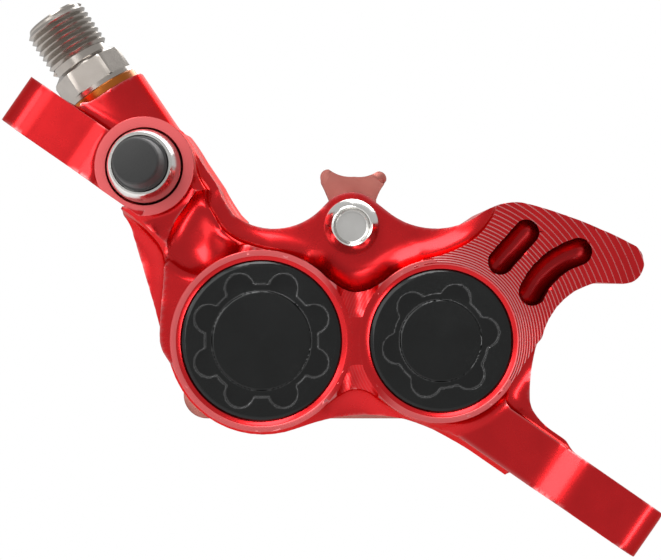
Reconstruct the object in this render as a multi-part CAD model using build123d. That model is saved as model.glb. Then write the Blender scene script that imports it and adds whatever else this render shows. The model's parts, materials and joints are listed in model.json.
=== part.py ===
from build123d import *
import math
import os

# Four-piston bicycle disc brake caliper, millimetres.
# The row frame has its origin midway between the two post bolt axes, on the plane of the posts:
# +X runs along the posts towards the long arm, +Z leaves the posts, and -Y is the outboard side.
# Pieces are drawn in the front view of the bores: x along the bore line from the large bore to the
# small one, y up and away from the wheel hub, z outboard, with zero midway between the bores on the
# plane of the disc. Heights below are distances outboard of that plane.

# Mounting
post_spacing = 74.0
post_bolt_height = 9.0
bore_line_angle = 34.7
bore_centre_along_posts = 3.2
bore_centre_off_posts = 2.1
ear_thickness = 6.05
ear_end_radius = 7.8
ear_corner_radius = 3.8
ear_front_height = 15.2
ear_back_height = 2.8
ear_jog_length = 7.2
ear_jog_start = 9.0
ear_root_drop = 2.4
short_arm_length = 16.0
long_arm_length = 26.0
ear_slot_width = 6.4
ear_slot_length = 10.4

# Bores, pistons and seals
bore_spacing = 20.3
large_piston_radius = 8.0
small_piston_radius = 7.0
piston_clearance = 0.03
piston_room = 0.85
piston_wall = 1.6
piston_floor = 2.0
piston_rim_chamfer = 0.4
piston_stand_out = 0.5
bore_depth = 9.4
seal_width = 2.0
seal_depth = 1.0
seal_setback = 2.6
wiper_gap = 0.03
seal_gap = 0.04

# Bore caps
cap_rim = 1.12
cap_thickness = 3.7
cap_recess = 0.35
cap_clearance = 0.03
cap_chamfer = 0.45
cap_socket_depth = 1.5
cap_centre_sink = 0.3
cap_seal_section = 0.6
cap_spigot_length = 1.3
ring_chamfer = 0.5
ring_chamfer_depth = 0.25
large_cap_lobes = 8
small_cap_lobes = 6
large_lobe_turn = 22.5
small_lobe_turn = 10.5
# Turned centre, lobe radius, distance of the lobes and mouth between them, as shares of the cap's radius
large_socket_shares = (0.599, 0.164, 0.680, 0.691)
small_socket_shares = (0.574, 0.197, 0.616, 0.671)

# Body
face_height = 20.0
flange_height = 12.6
inner_face_height = 19.0
plateau_land = 0.6
waist_top_radius = 7.1
waist_bottom_radius = 5.3
dish_overlap = 0.01
closing_tolerance = 0.001
left_dish_radius = 5.6
right_dish_radius = 6.9
left_dish_share = -0.488
right_dish_share = 0.473
pad_pocket_half_width = 6.6
rotor_slot_width = 4.8
rotor_radius = 90.0
rotor_clearance = 1.5
rotor_reach = 8.9
window_half_length = 12.4
overrun = 30.0

# Pads
pad_half_length = 19.8
pad_bottom = 9.6
pad_shoulder = 8.6
pad_corner_radius = 2.8
pad_plate_thickness = 2.0
pad_end_clearance = 0.3
friction_thickness = 1.8
friction_margin = 1.6
friction_groove = 1.2
pin_radius = 2.0
pin_height = 13.05
pin_offset = 0.13
pin_clearance = 0.08
pin_head_radius = 3.25
pin_tip_radius = 2.55
pin_head_length = 3.6
pin_socket_flats = 3.0
pin_socket_depth = 2.2
pin_bevel = 0.35
pin_thread_overhang = 2.4
clip_section = 0.8
clip_setback = 0.8
spring_sheet = 0.3
spring_half_length = 7.0
spring_gap = 0.1
spring_bend = 1.2

# Bleed boss, nipple and rubber cap
bleed_boss_radius = 5.6
bleed_boss_height = 18.5
bleed_bore_radius = 4.4
bleed_bore_depth = 5.0
bleed_drilling_radius = 2.6
bleed_drilling_depth = 6.0
bleed_boss_distance = 11.5
nipple_collar_radius = 4.15
nipple_tip_radius = 3.45
nipple_collar_height = 5.6
nipple_stem_radius = 1.7
nipple_stem_length = 4.6
nipple_passage_radius = 0.8
nipple_clearance = 0.05
nipple_rim = 0.35
rubber_base_radius = 3.05
rubber_top_radius = 2.5
rubber_length = 7.2
rubber_sink = 1.2
rubber_edge = 0.5
rubber_gap = 0.08

# Hose boss, connector and washer
hose_angle = 124.0
hose_face_x = -29.9
hose_face_y = 29.3
hose_height = -3.0
hose_boss_radius = 5.3
hose_boss_length = 24.0
hose_bore_radius = 3.0
hose_bore_depth = 9.0
washer_outer_radius = 4.75
washer_inner_radius = 3.1
washer_thickness = 1.05
connector_hex_flats = 8.0
connector_collar_radius = 4.55
connector_collar_length = 0.7
connector_hex_length = 3.3
connector_relief_radius = 3.5
connector_relief_length = 0.5
connector_thread_radius = 3.97
connector_thread_length = 6.3
connector_thread_bevel = 0.45
connector_spigot_radius = 2.95
connector_spigot_length = 7.0
connector_passage_radius = 1.1
connector_cone_radius = 2.6
connector_cone_depth = 2.0

# Finned tail
fin_start_height = 19.7
fin_tip_height = 15.4
fin_reach = 24.5
fin_terraces = 30
fin_growth = 1.039
fin_riser_share = 0.35
short_slot_radius = 1.45
long_slot_radius = 1.55
tail_slot_depth = 1.9

large_x = -bore_spacing / 2
small_x = bore_spacing / 2
large_bore_radius = large_piston_radius + piston_clearance
small_bore_radius = small_piston_radius + piston_clearance
large_cap_radius = large_piston_radius + cap_rim
small_cap_radius = small_piston_radius + cap_rim
large_ring_radius = large_cap_radius + cap_clearance + ring_chamfer
small_ring_radius = small_cap_radius + cap_clearance + ring_chamfer
large_plateau_radius = large_ring_radius + plateau_land
small_plateau_radius = small_ring_radius + plateau_land
piston_front = pad_pocket_half_width - piston_stand_out
cap_outer_height = face_height - cap_recess
cap_inner_height = cap_outer_height - cap_thickness
piston_length = cap_inner_height - piston_room - piston_front
plate_front = piston_front - pad_plate_thickness
friction_front = plate_front - friction_thickness
rotor_centre_y = rotor_reach - rotor_radius
pin_face_height = flange_height
hose_direction = Vector(math.cos(math.radians(hose_angle)), math.sin(math.radians(hose_angle)), 0)
bleed_centre = Vector(hose_face_x, hose_face_y, 0) - hose_direction * bleed_boss_distance

# The bores' place and tilt over the posts, and their front view in the row frame
bore_tilt = Location((bore_centre_along_posts, bore_centre_off_posts, 0), (0, 0, bore_line_angle))
bore_view = Plane.XZ.offset(-post_bolt_height).location * bore_tilt

# Outlines in shares of the bore spacing. A row is (end point) for a straight run,
# or (point on the way, end point) for an arc.
skirt_start_share = (-1.037, -0.094)
skirt_shares = [
    ((-0.833, -0.429), (-0.305, -0.507)),
    ((0.089, -0.433), (0.478, -0.500)),
    ((0.591, -0.552), (0.704, -0.613)),
    ((1.026, -0.836),),
    ((1.196, -0.592),),
    ((1.143, -0.555),),
    ((1.062, -0.473), (1.025, -0.345)),
    ((1.032, -0.177), (1.059, -0.025)),
    ((1.158, 0.192), (1.389, 0.323)),
    ((1.537, 0.316),),
    ((1.659, 0.424), (1.581, 0.547)),
    ((1.298, 0.672), (0.985, 0.771)),
    ((0.877, 0.773), (0.739, 0.714)),
    ((0.458, 0.634), (0.207, 0.734)),
    ((0.145, 0.783),),
    ((0.006, 0.840), (-0.133, 0.783)),
    ((-0.182, 0.732),),
    ((-0.453, 0.632), (-0.670, 0.712)),
    ((-0.727, 0.798), (-0.768, 0.887)),
    ((-0.968, 1.182),),
    ((-1.160, 1.085),),
    ((-1.404, 0.846),),
    ((-1.323, 0.790),),
    ((-1.271, 0.700), (-1.241, 0.591)),
]
# The inboard half has no arm: this replaces the rows of the outline that run round its root.
inboard_root_shares = [((0.852, -0.369), (1.025, -0.345))]
arm_root_rows = slice(2, 7)
branch_shares = [
    ((-0.500, 0.000),),
    ((-1.005, 0.000),),
    ((-1.025, 0.240), (-1.050, 0.470)),
    ((-1.160, 0.640),),
    ((-1.480, 0.900),),
    ((-0.900, 1.200),),
]
tail_shares = [
    ((0.500, -0.100),),
    ((0.800, -0.330),),
    ((0.862, -0.290),),
    ((1.034, -0.020),),
    ((1.080, 0.030),),
    ((1.900, -0.100),),
    ((1.900, 1.100),),
    ((0.800, 1.100),),
]
valley_shares = [(-0.950, 0.720), (-0.840, 0.600)]
valley_radius = 5.0
valley_height = 21.0
short_slot_shares = [(0.833, 0.439), (0.985, 0.607)]
long_slot_shares = [(1.010, 0.271), (1.134, 0.423), (1.281, 0.497)]
waist_pocket_x_share = 0.035
waist_pocket_y_shares = [0.227, 0.443]
waist_pocket_radius = 2.6
waist_pocket_rise = 1.75
waist_pocket_fall = -0.2
tab_shares = [
    ((-0.235, 0.423),),
    ((-0.200, 0.560), (-0.140, 0.700)),
    ((-0.121, 0.809),),
    ((-0.150, 0.880), (-0.173, 0.927)),
    ((-0.160, 0.975), (-0.124, 0.986)),
    ((-0.050, 0.950), (0.024, 0.944)),
    ((0.100, 0.948), (0.159, 0.974)),
    ((0.202, 0.960), (0.212, 0.921)),
    ((0.180, 0.870), (0.153, 0.809)),
    ((0.155, 0.700),),
    ((0.212, 0.560), (0.247, 0.423)),
]


def at(share):
    return Vector(share[0] * bore_spacing, share[1] * bore_spacing, 0)


def outline(rows, start=None):
    """A closed face from rows of shares: one point ends a straight run, two make an arc."""
    here = at(start if start else rows[-1][-1])
    first = here
    edges = []
    for row in rows:
        end = at(row[-1])
        if len(row) == 1:
            edges.append(Line(here, end))
        else:
            edges.append(ThreePointArc(here, at(row[0]), end))
        here = end
    if (here - first).length > closing_tolerance:
        edges.append(Line(here, first))
    return make_face(edges)


def prism(face, low, high):
    return extrude(Pos(0, 0, low) * face, high - low, dir=(0, 0, 1))


def disc(radius, low, high, x=0, y=0):
    return Pos(x, y, low) * extrude(Circle(radius), high - low)


def ring(outer, inner, low, high, x=0, y=0):
    return Pos(x, y, low) * extrude(Circle(outer) - Circle(inner), high - low)


def turned(points, x=0, y=0):
    """A turned piece: points are (radius, height) round the z axis."""
    profile = make_face(Polyline(*[(radius, 0, height) for radius, height in points], close=True))
    return Pos(x, y, 0) * revolve(profile, Axis.Z)


def round_loop(outer, inner, x=0, height=0):
    """A round-section ring between two radii, centred at a height."""
    section = (outer - inner) / 2
    profile = Plane.XZ * Pos((outer + inner) / 2, 0, 0) * Circle(section)
    return Pos(x, 0, height) * revolve(profile, Axis.Z)


def mirrored(shape):
    return mirror(shape, Plane.XY)


def hexagon(flats):
    return RegularPolygon(flats / math.sqrt(3), 6)


def meeting_circle(radius, side):
    """Centre of the circle of this radius that touches both plateau circles on one side."""
    reach_large = large_plateau_radius + radius
    reach_small = small_plateau_radius + radius
    x = (reach_large**2 - reach_small**2) / (2 * bore_spacing)
    y = math.sqrt(reach_large**2 - (x - large_x) ** 2)
    return Vector(x, side * y, 0)


def dish_centre(share, radius, bore_x, plateau_radius):
    """Centre of a dish in the flange that touches a bore's plateau, at this share along the bore line."""
    x = share * bore_spacing
    return Vector(x, math.sqrt((plateau_radius + radius) ** 2 - (x - bore_x) ** 2), 0)


def plateau_face(outboard):
    """The raised face round both bores, with the branch to the bleed boss and the tail outboard."""
    dishes = [(meeting_circle(waist_top_radius, 1), waist_top_radius),
              (meeting_circle(waist_bottom_radius, -1), waist_bottom_radius)]
    above, below = dishes[0][0], dishes[1][0]
    face = make_face(Polyline((large_x, 0, 0), below, (small_x, 0, 0), above, close=True))
    if outboard:
        left = dish_centre(left_dish_share, left_dish_radius, large_x, large_plateau_radius)
        right = dish_centre(right_dish_share, right_dish_radius, small_x, small_plateau_radius)
        face += outline(branch_shares + [(tuple(v / bore_spacing for v in (left.X, left.Y)),)])
        face += outline(tail_shares + [(tuple(v / bore_spacing for v in (right.X, right.Y)),)])
        dishes += [(left, left_dish_radius), (right, right_dish_radius)]
    for centre, radius in dishes:
        face -= Pos(centre.X, centre.Y, 0) * Circle(radius)
    face += Pos(large_x, 0, 0) * Circle(large_plateau_radius - dish_overlap)
    face += Pos(small_x, 0, 0) * Circle(small_plateau_radius - dish_overlap)
    return face


def tail_profile():
    """Terraces that drop away from the small bore, each a little wider than the one before."""
    start = small_plateau_radius
    total = sum(fin_growth**n for n in range(fin_terraces))
    drop = (fin_start_height - fin_tip_height) / fin_terraces
    points = [(start, fin_start_height)]
    radius, height = start, fin_start_height
    for n in range(fin_terraces):
        width = (fin_reach - start) * fin_growth**n / total
        points.append((radius + width * fin_riser_share, height - drop))
        radius += width
        height -= drop
        points.append((radius, height))
    return points


def tail_relief():
    """What is milled off above the finned tail."""
    profile = tail_profile()
    top = face_height + overrun
    solid = turned(profile + [(fin_reach + overrun, fin_tip_height), (fin_reach + overrun, top),
                              (small_plateau_radius, top)], small_x)
    return solid & prism(outline(tail_shares), 0, top)


def capsule(start, end, radius):
    """A ball-ended cutter's track from one point to another."""
    along = end - start
    length = along.length
    edges = [
        ThreePointArc((0, 0, -radius), (radius * math.sqrt(0.5), 0, -radius * math.sqrt(0.5)), (radius, 0, 0)),
        Line((radius, 0, 0), (radius, 0, length)),
        ThreePointArc((radius, 0, length), (radius * math.sqrt(0.5), 0, length + radius * math.sqrt(0.5)),
                      (0, 0, length + radius)),
        Line((0, 0, length + radius), (0, 0, -radius)),
    ]
    return Plane(origin=start, z_dir=along).location * revolve(make_face(edges), Axis.Z)


def lane(start, end, radius, low):
    """An upright slot over a capsule, open upwards."""
    middle, along = (start + end) / 2, end - start
    angle = math.degrees(math.atan2(along.Y, along.X))
    face = Pos(middle.X, middle.Y, low) * Rot(0, 0, angle) * SlotCenterToCenter(along.length, 2 * radius)
    return extrude(face, overrun)


def tail_slots():
    """The two ball-ended slots in the tail."""
    floor_height = (fin_start_height + fin_tip_height) / 2 - tail_slot_depth
    lift = Vector(0, 0, floor_height)
    cuts = []
    for shares, radius in ((short_slot_shares, short_slot_radius), (long_slot_shares, long_slot_radius)):
        points = [at(share) for share in shares]
        for start, end in zip(points, points[1:]):
            cuts += [capsule(start + lift, end + lift, radius), lane(start, end, radius, floor_height)]
    return cuts


def waist_pockets():
    """Ball-milled scoops at the top and the bottom of the waist."""
    near, far = (share * bore_spacing for share in waist_pocket_y_shares)
    x = waist_pocket_x_share * bore_spacing
    cuts = []
    for side in (1, -1):
        start = Vector(x, side * near, face_height + waist_pocket_rise)
        end = Vector(x, side * far, face_height - waist_pocket_fall)
        cuts.append(capsule(start, end, waist_pocket_radius))
    return cuts


def valley():
    """The scooped valley between the large bore and the bleed boss."""
    start, end = (at(share) + Vector(0, 0, valley_height) for share in valley_shares)
    return capsule(start, end, valley_radius)


def arm(side, root):
    """One mounting arm in the row view: the plan of its ear, jog and root, swept through its thickness."""
    bolt = side * post_spacing / 2
    tip = bolt + side * ear_end_radius
    jog_end = bolt - side * (ear_jog_start - ear_jog_length)
    jog_start = bolt - side * ear_jog_start
    half = (jog_start + jog_end) / 2
    step = face_height - ear_root_drop - ear_front_height
    root_front = ear_front_height + step
    lean = side * ear_corner_radius
    low, high = ear_back_height, ear_front_height
    bend = math.sqrt(0.5)
    inset = ear_corner_radius * (1 - bend)
    edges = [
        Line((root, low), (tip - lean, low)),
        ThreePointArc((tip - lean, low), (tip - side * inset, low + inset), (tip, low + ear_corner_radius)),
        Line((tip, low + ear_corner_radius), (tip, high - ear_corner_radius)),
        ThreePointArc((tip, high - ear_corner_radius), (tip - side * inset, high - inset), (tip - lean, high)),
        Line((tip - lean, high), (jog_end, high)),
        Spline((jog_end, high), (half, high + step / 2), (jog_start, root_front),
               tangents=[(-side, 0), (-side, 0)]),
        Line((jog_start, root_front), (root, root_front)),
        Line((root, root_front), (root, low)),
    ]
    plan = Plane.XZ * make_face(edges)
    return extrude(plan, ear_thickness, dir=(0, 1, 0))


def ear_slot(side):
    slot = Plane.XZ * Pos(side * post_spacing / 2, post_bolt_height, 0) * Rot(0, 0, 90)
    face = slot * SlotOverall(ear_slot_length, ear_slot_width)
    return extrude(face, ear_thickness + overrun, dir=(0, 1, 0), both=True)


def hose_place(distance):
    """A place on the hose axis, this far out from the boss's face, z along the axis."""
    origin = Vector(hose_face_x, hose_face_y, hose_height) + hose_direction * distance
    return Plane(origin=origin, z_dir=hose_direction).location


def bore_cuts():
    cuts = []
    for x, bore_radius, cap_radius, ring_radius in (
        (large_x, large_bore_radius, large_cap_radius, large_ring_radius),
        (small_x, small_bore_radius, small_cap_radius, small_ring_radius),
    ):
        seat_radius = cap_radius + cap_clearance
        cuts.append(disc(bore_radius, 0, cap_inner_height + overrun, x))
        cuts.append(disc(seat_radius, cap_inner_height, face_height + overrun, x))
        cuts.append(turned([(0, face_height - ring_chamfer_depth), (seat_radius, face_height - ring_chamfer_depth),
                            (ring_radius, face_height), (ring_radius, face_height + ring_chamfer),
                            (0, face_height + ring_chamfer)], x))
        cuts.append(disc(bore_radius, -pad_pocket_half_width - bore_depth, 0, x))
        groove = ring(bore_radius + seal_depth, bore_radius - seal_depth, seal_low(), seal_low() + seal_width, x)
        cuts.append(groove)
        cuts.append(mirrored(groove))
    return cuts


def seal_low():
    return pad_pocket_half_width + seal_setback


def pad_outline(margin=0):
    """The pad's plate without its tab, smaller all round by margin."""
    height = pad_bottom + pad_shoulder - 2 * margin
    middle = (pad_shoulder - pad_bottom) / 2
    return Pos(0, middle, 0) * RectangleRounded(2 * (pad_half_length - margin), height, pad_corner_radius)


def body():
    full = [list(skirt_shares[: arm_root_rows.start]), list(skirt_shares[arm_root_rows.stop :])]
    skirt = outline(skirt_shares + [(skirt_start_share,)], skirt_start_share)
    inboard_rows = full[0] + inboard_root_shares + full[1] + [(skirt_start_share,)]
    inner_skirt = outline(inboard_rows, skirt_start_share)
    outboard = prism(skirt, 0, flange_height)
    outboard += prism(plateau_face(True) & skirt, flange_height, face_height)
    inboard = prism(inner_skirt, -flange_height, 0)
    inboard += prism(plateau_face(False) & inner_skirt, -inner_face_height, -flange_height)
    solid = outboard + inboard
    solid = solid - tail_relief() - valley()
    bleed_boss = disc(bleed_boss_radius, -pad_pocket_half_width, bleed_boss_height, bleed_centre.X, bleed_centre.Y)
    below_posts = Pos(0, -overrun, 0) * Box(4 * overrun, 2 * overrun, 4 * overrun)
    solid += bleed_boss - bore_tilt.inverse() * below_posts
    boss = hose_place(-hose_boss_length) * extrude(Circle(hose_boss_radius), hose_boss_length)
    solid += boss
    solid = bore_tilt * solid
    solid += arm(-1, -post_spacing / 2 + short_arm_length)
    solid += arm(1, post_spacing / 2 - long_arm_length)
    for side in (-1, 1):
        solid -= ear_slot(side)
    solid = bore_tilt.inverse() * solid
    for cut in [*waist_pockets(), *tail_slots(), *bore_cuts(), *slot_and_window(), *fitting_bores()]:
        solid -= cut
    return solid


def slot_and_window():
    """The rotor's slot, the pads' pocket and the window over them."""
    half = pad_half_length + pad_end_clearance
    rotor = disc(rotor_radius + rotor_clearance, -rotor_slot_width / 2, rotor_slot_width / 2, 0, rotor_centre_y)
    top = pad_shoulder + pad_end_clearance
    pocket = Pos(0, (top - overrun) / 2, 0) * Box(2 * half, top + overrun, 2 * pad_pocket_half_width)
    window = Pos(0, overrun / 2, 0) * Box(2 * window_half_length, overrun, 2 * pad_pocket_half_width)
    return [rotor, pocket, window]


def fitting_bores():
    """Drillings for the pad pin, the bleed nipple and the hose connector."""
    pin = disc(pin_radius + pin_clearance, -face_height, face_height, pin_offset, pin_height)
    low = bleed_boss_height - bleed_bore_depth
    nipple = disc(bleed_bore_radius, low, face_height + overrun, bleed_centre.X, bleed_centre.Y)
    drilling = disc(bleed_drilling_radius, low - bleed_drilling_depth, low, bleed_centre.X, bleed_centre.Y)
    hose = hose_place(-hose_bore_depth) * extrude(Circle(hose_bore_radius), hose_bore_depth + overrun)
    return [pin, nipple, drilling, hose]


def bore_cap(x, radius, lobes, turn, centre_share, lobe_share, reach_share, mouth_share):
    """A threaded cap with a lobed tool socket round a raised turned centre."""
    top, low = cap_outer_height, cap_inner_height
    solid = turned([(0, low), (radius, low), (radius, top - cap_chamfer), (radius - cap_chamfer, top), (0, top)], x)
    socket = Circle(mouth_share * radius)
    for n in range(lobes):
        angle = math.radians(turn) + 2 * math.pi * n / lobes
        reach = reach_share * radius
        socket += Pos(reach * math.cos(angle), reach * math.sin(angle), 0) * Circle(lobe_share * radius)
    socket -= Circle(centre_share * radius)
    solid -= Pos(x, 0, top - cap_socket_depth) * extrude(socket, cap_socket_depth + overrun)
    solid -= disc(centre_share * radius, top - cap_centre_sink, top + overrun, x)
    groove = ring(radius + cap_seal_section, radius - cap_seal_section, low + cap_spigot_length / 2,
                  low + cap_spigot_length / 2 + cap_seal_section, x)
    return solid - groove


def cap_seal(x, radius):
    """The O-ring in the cap's groove."""
    middle = cap_inner_height + (cap_spigot_length + cap_seal_section) / 2
    half = cap_seal_section / 2 - seal_gap
    outer = radius - cap_seal_section / 2 + half
    return round_loop(outer, outer - 2 * half, x, middle)


def piston(x, radius):
    """A cup piston, open towards the pad, with chamfered rims."""
    low, high = piston_front, piston_front + piston_length
    cup = radius - piston_wall
    return turned([
        (cup, low), (radius - piston_rim_chamfer, low), (radius, low + piston_rim_chamfer),
        (radius, high - piston_rim_chamfer), (radius - piston_rim_chamfer, high), (0, high),
        (0, high - piston_floor), (cup, high - piston_floor),
    ], x)


def piston_seal(x, radius):
    """A square-cut seal in the bore's groove round the piston."""
    low = seal_low() + seal_gap
    return ring(radius + piston_clearance + seal_depth - seal_gap, radius + wiper_gap, low,
                seal_low() + seal_width - seal_gap, x)


def pad_plate():
    """A pad's steel backing plate with its finger tab and the hole for the pin."""
    face = pad_outline() + outline(tab_shares)
    face -= Pos(pin_offset, pin_height, 0) * Circle(pin_radius + pin_clearance)
    return prism(face, plate_front, piston_front)


def friction():
    """The friction block, with a groove across it."""
    face = pad_outline(friction_margin)
    face -= Rectangle(friction_groove, 2 * overrun)
    return prism(face, friction_front, plate_front)


def pad_spring():
    """A leaf bent over under the pin, with a leg against each plate."""
    reach = plate_front - spring_gap
    top = pin_height - pin_radius - spring_gap
    low = pad_shoulder - friction_margin + pad_end_clearance
    outer = RectangleRounded(2 * reach, 2 * (top - low), spring_bend)
    inner = RectangleRounded(2 * (reach - spring_sheet), 2 * (top - low - spring_sheet), spring_bend - spring_sheet)
    upper = Pos(0, (top - low) / 2, 0) * Rectangle(2 * reach, top - low)
    section = Pos(0, low, 0) * ((outer - inner) & upper)
    return extrude(Plane.YZ * Rot(0, 0, -90) * section, spring_half_length, both=True)


def pad_pin():
    """The pin that the pads hang from: a bevelled head with a hexagon socket, and a plain shank."""
    face = pin_face_height
    end = -flange_height - pin_thread_overhang
    solid = turned([
        (0, end), (pin_radius - pin_bevel, end), (pin_radius, end + pin_bevel), (pin_radius, face),
        (pin_head_radius, face), (pin_head_radius, face + pin_bevel), (pin_tip_radius, face + pin_head_length),
        (0, face + pin_head_length),
    ], pin_offset, pin_height)
    top = face + pin_head_length
    mouth = hexagon(pin_socket_flats)
    solid -= Pos(pin_offset, pin_height, top - pin_socket_depth) * extrude(mouth, pin_socket_depth + overrun)
    solid -= ring(pin_radius + clip_section, pin_radius - clip_section / 2, clip_low(), clip_low() + clip_section,
                  pin_offset, pin_height)
    return solid


def clip_low():
    return -flange_height - clip_setback - clip_section


def pin_clip():
    """The snap ring in the groove at the pin's inboard end, open at one side."""
    gap = seal_gap
    inner, outer = pin_radius - clip_section / 2 + gap, pin_radius + clip_section
    low = clip_low() + gap
    loop = ring(outer, inner, low, low + clip_section - 2 * gap, pin_offset, pin_height)
    mouth = Pos(pin_offset, pin_height + outer, 0) * Box(pin_radius, 2 * outer, overrun * 2)
    return loop - mouth


def bleed_nipple():
    """The nipple: a tapered collar over the boss, a stem above it and a threaded foot with its passage."""
    low = bleed_boss_height - bleed_bore_depth
    top = low + bleed_bore_depth + nipple_collar_height
    foot = low - bleed_drilling_depth / 2
    shank = bleed_drilling_radius - nipple_clearance
    return turned([
        (nipple_passage_radius, foot), (shank, foot), (shank, low), (nipple_collar_radius, low),
        (nipple_collar_radius, bleed_boss_height), (nipple_tip_radius + nipple_rim, top - nipple_rim),
        (nipple_tip_radius, top), (rubber_base_radius + rubber_gap, top),
        (rubber_base_radius + rubber_gap, top - rubber_sink - rubber_gap),
        (nipple_stem_radius, top - rubber_sink - rubber_gap), (nipple_stem_radius, top + nipple_stem_length),
        (nipple_passage_radius, top + nipple_stem_length),
    ], bleed_centre.X, bleed_centre.Y)


def rubber_cap():
    """The rubber cap over the nipple's stem."""
    base = bleed_boss_height + nipple_collar_height - rubber_sink
    top = base + rubber_length
    bore = nipple_stem_radius + rubber_gap
    ceiling = bleed_boss_height + nipple_collar_height + nipple_stem_length + rubber_gap
    return turned([
        (bore, base), (rubber_base_radius, base), (rubber_base_radius, base + rubber_sink + rubber_edge),
        (rubber_top_radius, top - rubber_edge), (rubber_top_radius - rubber_edge, top), (0, top),
        (0, ceiling), (bore, ceiling),
    ], bleed_centre.X, bleed_centre.Y)


def washer():
    profile = Circle(washer_outer_radius) - Circle(washer_inner_radius)
    return hose_place(0) * extrude(profile, washer_thickness)


def hose_connector():
    """The connector: spigot, collar, hexagon with a turned top, relief and the thread's outer diameter."""
    collar = washer_thickness
    hex_low = collar + connector_collar_length
    relief = hex_low + connector_hex_length
    thread = relief + connector_relief_length
    top = thread + connector_thread_length
    corner = connector_hex_flats / math.sqrt(3)
    flat = connector_hex_flats / 2
    shell = turned([
        (0, hex_low), (corner + overrun, hex_low), (corner + overrun, relief - corner + flat - connector_thread_bevel),
        (flat - connector_thread_bevel, relief), (0, relief),
    ])
    solid = Pos(0, 0, hex_low) * extrude(hexagon(connector_hex_flats), connector_hex_length) & shell
    solid += disc(connector_collar_radius, collar, hex_low)
    solid += disc(connector_spigot_radius, collar - connector_spigot_length, collar)
    solid += turned([
        (0, relief), (connector_relief_radius, relief), (connector_relief_radius, thread),
        (connector_thread_radius, thread), (connector_thread_radius, top - connector_thread_bevel),
        (connector_thread_radius - connector_thread_bevel, top), (0, top),
    ])
    solid -= disc(connector_passage_radius, collar - connector_spigot_length, top)
    solid -= turned([(0, top - connector_cone_depth), (connector_passage_radius, top - connector_cone_depth),
                     (connector_cone_radius, top), (0, top)])
    return hose_place(0) * solid


def write(name, shape, place=bore_view):
    """Writes one piece to parts/ in the row frame."""
    solids = (place * shape).solids()
    part = solids[0] if len(solids) == 1 else Compound(children=list(solids))
    export_step(part, f"parts/{name}.step")
    print(name, len(solids), round(sum(s.volume for s in solids), 1))


def main():
    os.makedirs("parts", exist_ok=True)
    write("caliper_body", body())
    for size, x, radius, bore_radius, cap_radius in (
        ("large", large_x, large_piston_radius, large_bore_radius, large_cap_radius),
        ("small", small_x, small_piston_radius, small_bore_radius, small_cap_radius),
    ):
        write(f"outboard_{size}_piston", piston(x, radius))
        write(f"inboard_{size}_piston", mirrored(piston(x, radius)))
        write(f"outboard_{size}_seal", piston_seal(x, radius))
        write(f"inboard_{size}_seal", mirrored(piston_seal(x, radius)))
        write(f"{size}_cap_seal", cap_seal(x, cap_radius))
    for name, x, radius, lobes, turn, shares in (
        ("large_bore_cap", large_x, large_cap_radius, large_cap_lobes, large_lobe_turn, large_socket_shares),
        ("small_bore_cap", small_x, small_cap_radius, small_cap_lobes, small_lobe_turn, small_socket_shares),
    ):
        write(name, bore_cap(x, radius, lobes, turn, *shares))
    write("outboard_pad_plate", pad_plate())
    write("inboard_pad_plate", mirrored(pad_plate()))
    write("outboard_friction", friction())
    write("inboard_friction", mirrored(friction()))
    write("pad_spring", pad_spring())
    write("pad_pin", pad_pin())
    write("pad_pin_clip", pin_clip())
    write("bleed_nipple", bleed_nipple())
    write("bleed_nipple_cap", rubber_cap())
    write("connector_washer", washer())
    write("hose_connector", hose_connector())


main()
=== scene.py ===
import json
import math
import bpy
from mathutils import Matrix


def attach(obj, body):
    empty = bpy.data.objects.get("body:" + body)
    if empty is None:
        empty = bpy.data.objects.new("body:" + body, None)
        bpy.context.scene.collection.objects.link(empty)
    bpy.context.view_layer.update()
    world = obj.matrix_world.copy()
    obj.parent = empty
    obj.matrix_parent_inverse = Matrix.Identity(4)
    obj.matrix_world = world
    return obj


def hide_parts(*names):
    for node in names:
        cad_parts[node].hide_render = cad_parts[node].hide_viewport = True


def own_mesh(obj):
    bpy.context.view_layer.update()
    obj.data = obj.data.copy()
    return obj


bl_info = {
    "name": "Disc brake caliper",
    "version": (1, 0, 0),
    "blender": (4, 5, 0),
    "location": "View3D > Sidebar > Caliper",
    "description": "Dresses the packed disc brake caliper: milled body, turned caps, steel and rubber",
    "category": "Object",
}

import bmesh
import bpy
import numpy as np
from mathutils import Matrix, Vector

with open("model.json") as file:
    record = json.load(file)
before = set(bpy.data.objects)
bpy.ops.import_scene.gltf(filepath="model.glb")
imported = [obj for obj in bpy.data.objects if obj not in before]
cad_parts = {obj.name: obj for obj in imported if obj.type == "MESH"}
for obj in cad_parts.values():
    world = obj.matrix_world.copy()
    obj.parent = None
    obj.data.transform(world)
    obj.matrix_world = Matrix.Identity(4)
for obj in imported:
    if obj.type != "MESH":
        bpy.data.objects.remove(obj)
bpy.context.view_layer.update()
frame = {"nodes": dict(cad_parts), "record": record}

MM = 0.001
PHOTO_WIDTH_PX, FOCAL_PX = 661, 2210
CAMERA_HEIGHT = 269
CAMERA_AIM = (-2.33, 6.87)
SENSOR_WIDTH = 36.0
TILT = math.radians(34.7)
COS, SIN = math.cos(TILT), math.sin(TILT)
BORES_ALONG, BORES_UP = 3.2, 2.1
DISC_Y = 9.0
SPACING = 20.3
LARGE_X, SMALL_X = -SPACING / 2, SPACING / 2
LARGE_PLATEAU, SMALL_PLATEAU = 10.28, 9.28
LARGE_RING, SMALL_RING = 9.74, 8.74
TAIL_SECTOR = (-28, 92)
FACE, FLANGE, INNER_FACE = 20.0, 12.6, 19.0
POST_SPACING = 74.0
BLEED = (-23.47, 19.77)
HOSE_FACE = (-29.9, 29.3, -3.0)
HOSE_TURN = math.radians(124.0)
HOSE_AXIS = (math.cos(HOSE_TURN), math.sin(HOSE_TURN))
PIN = (0.13, 13.05)

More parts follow.
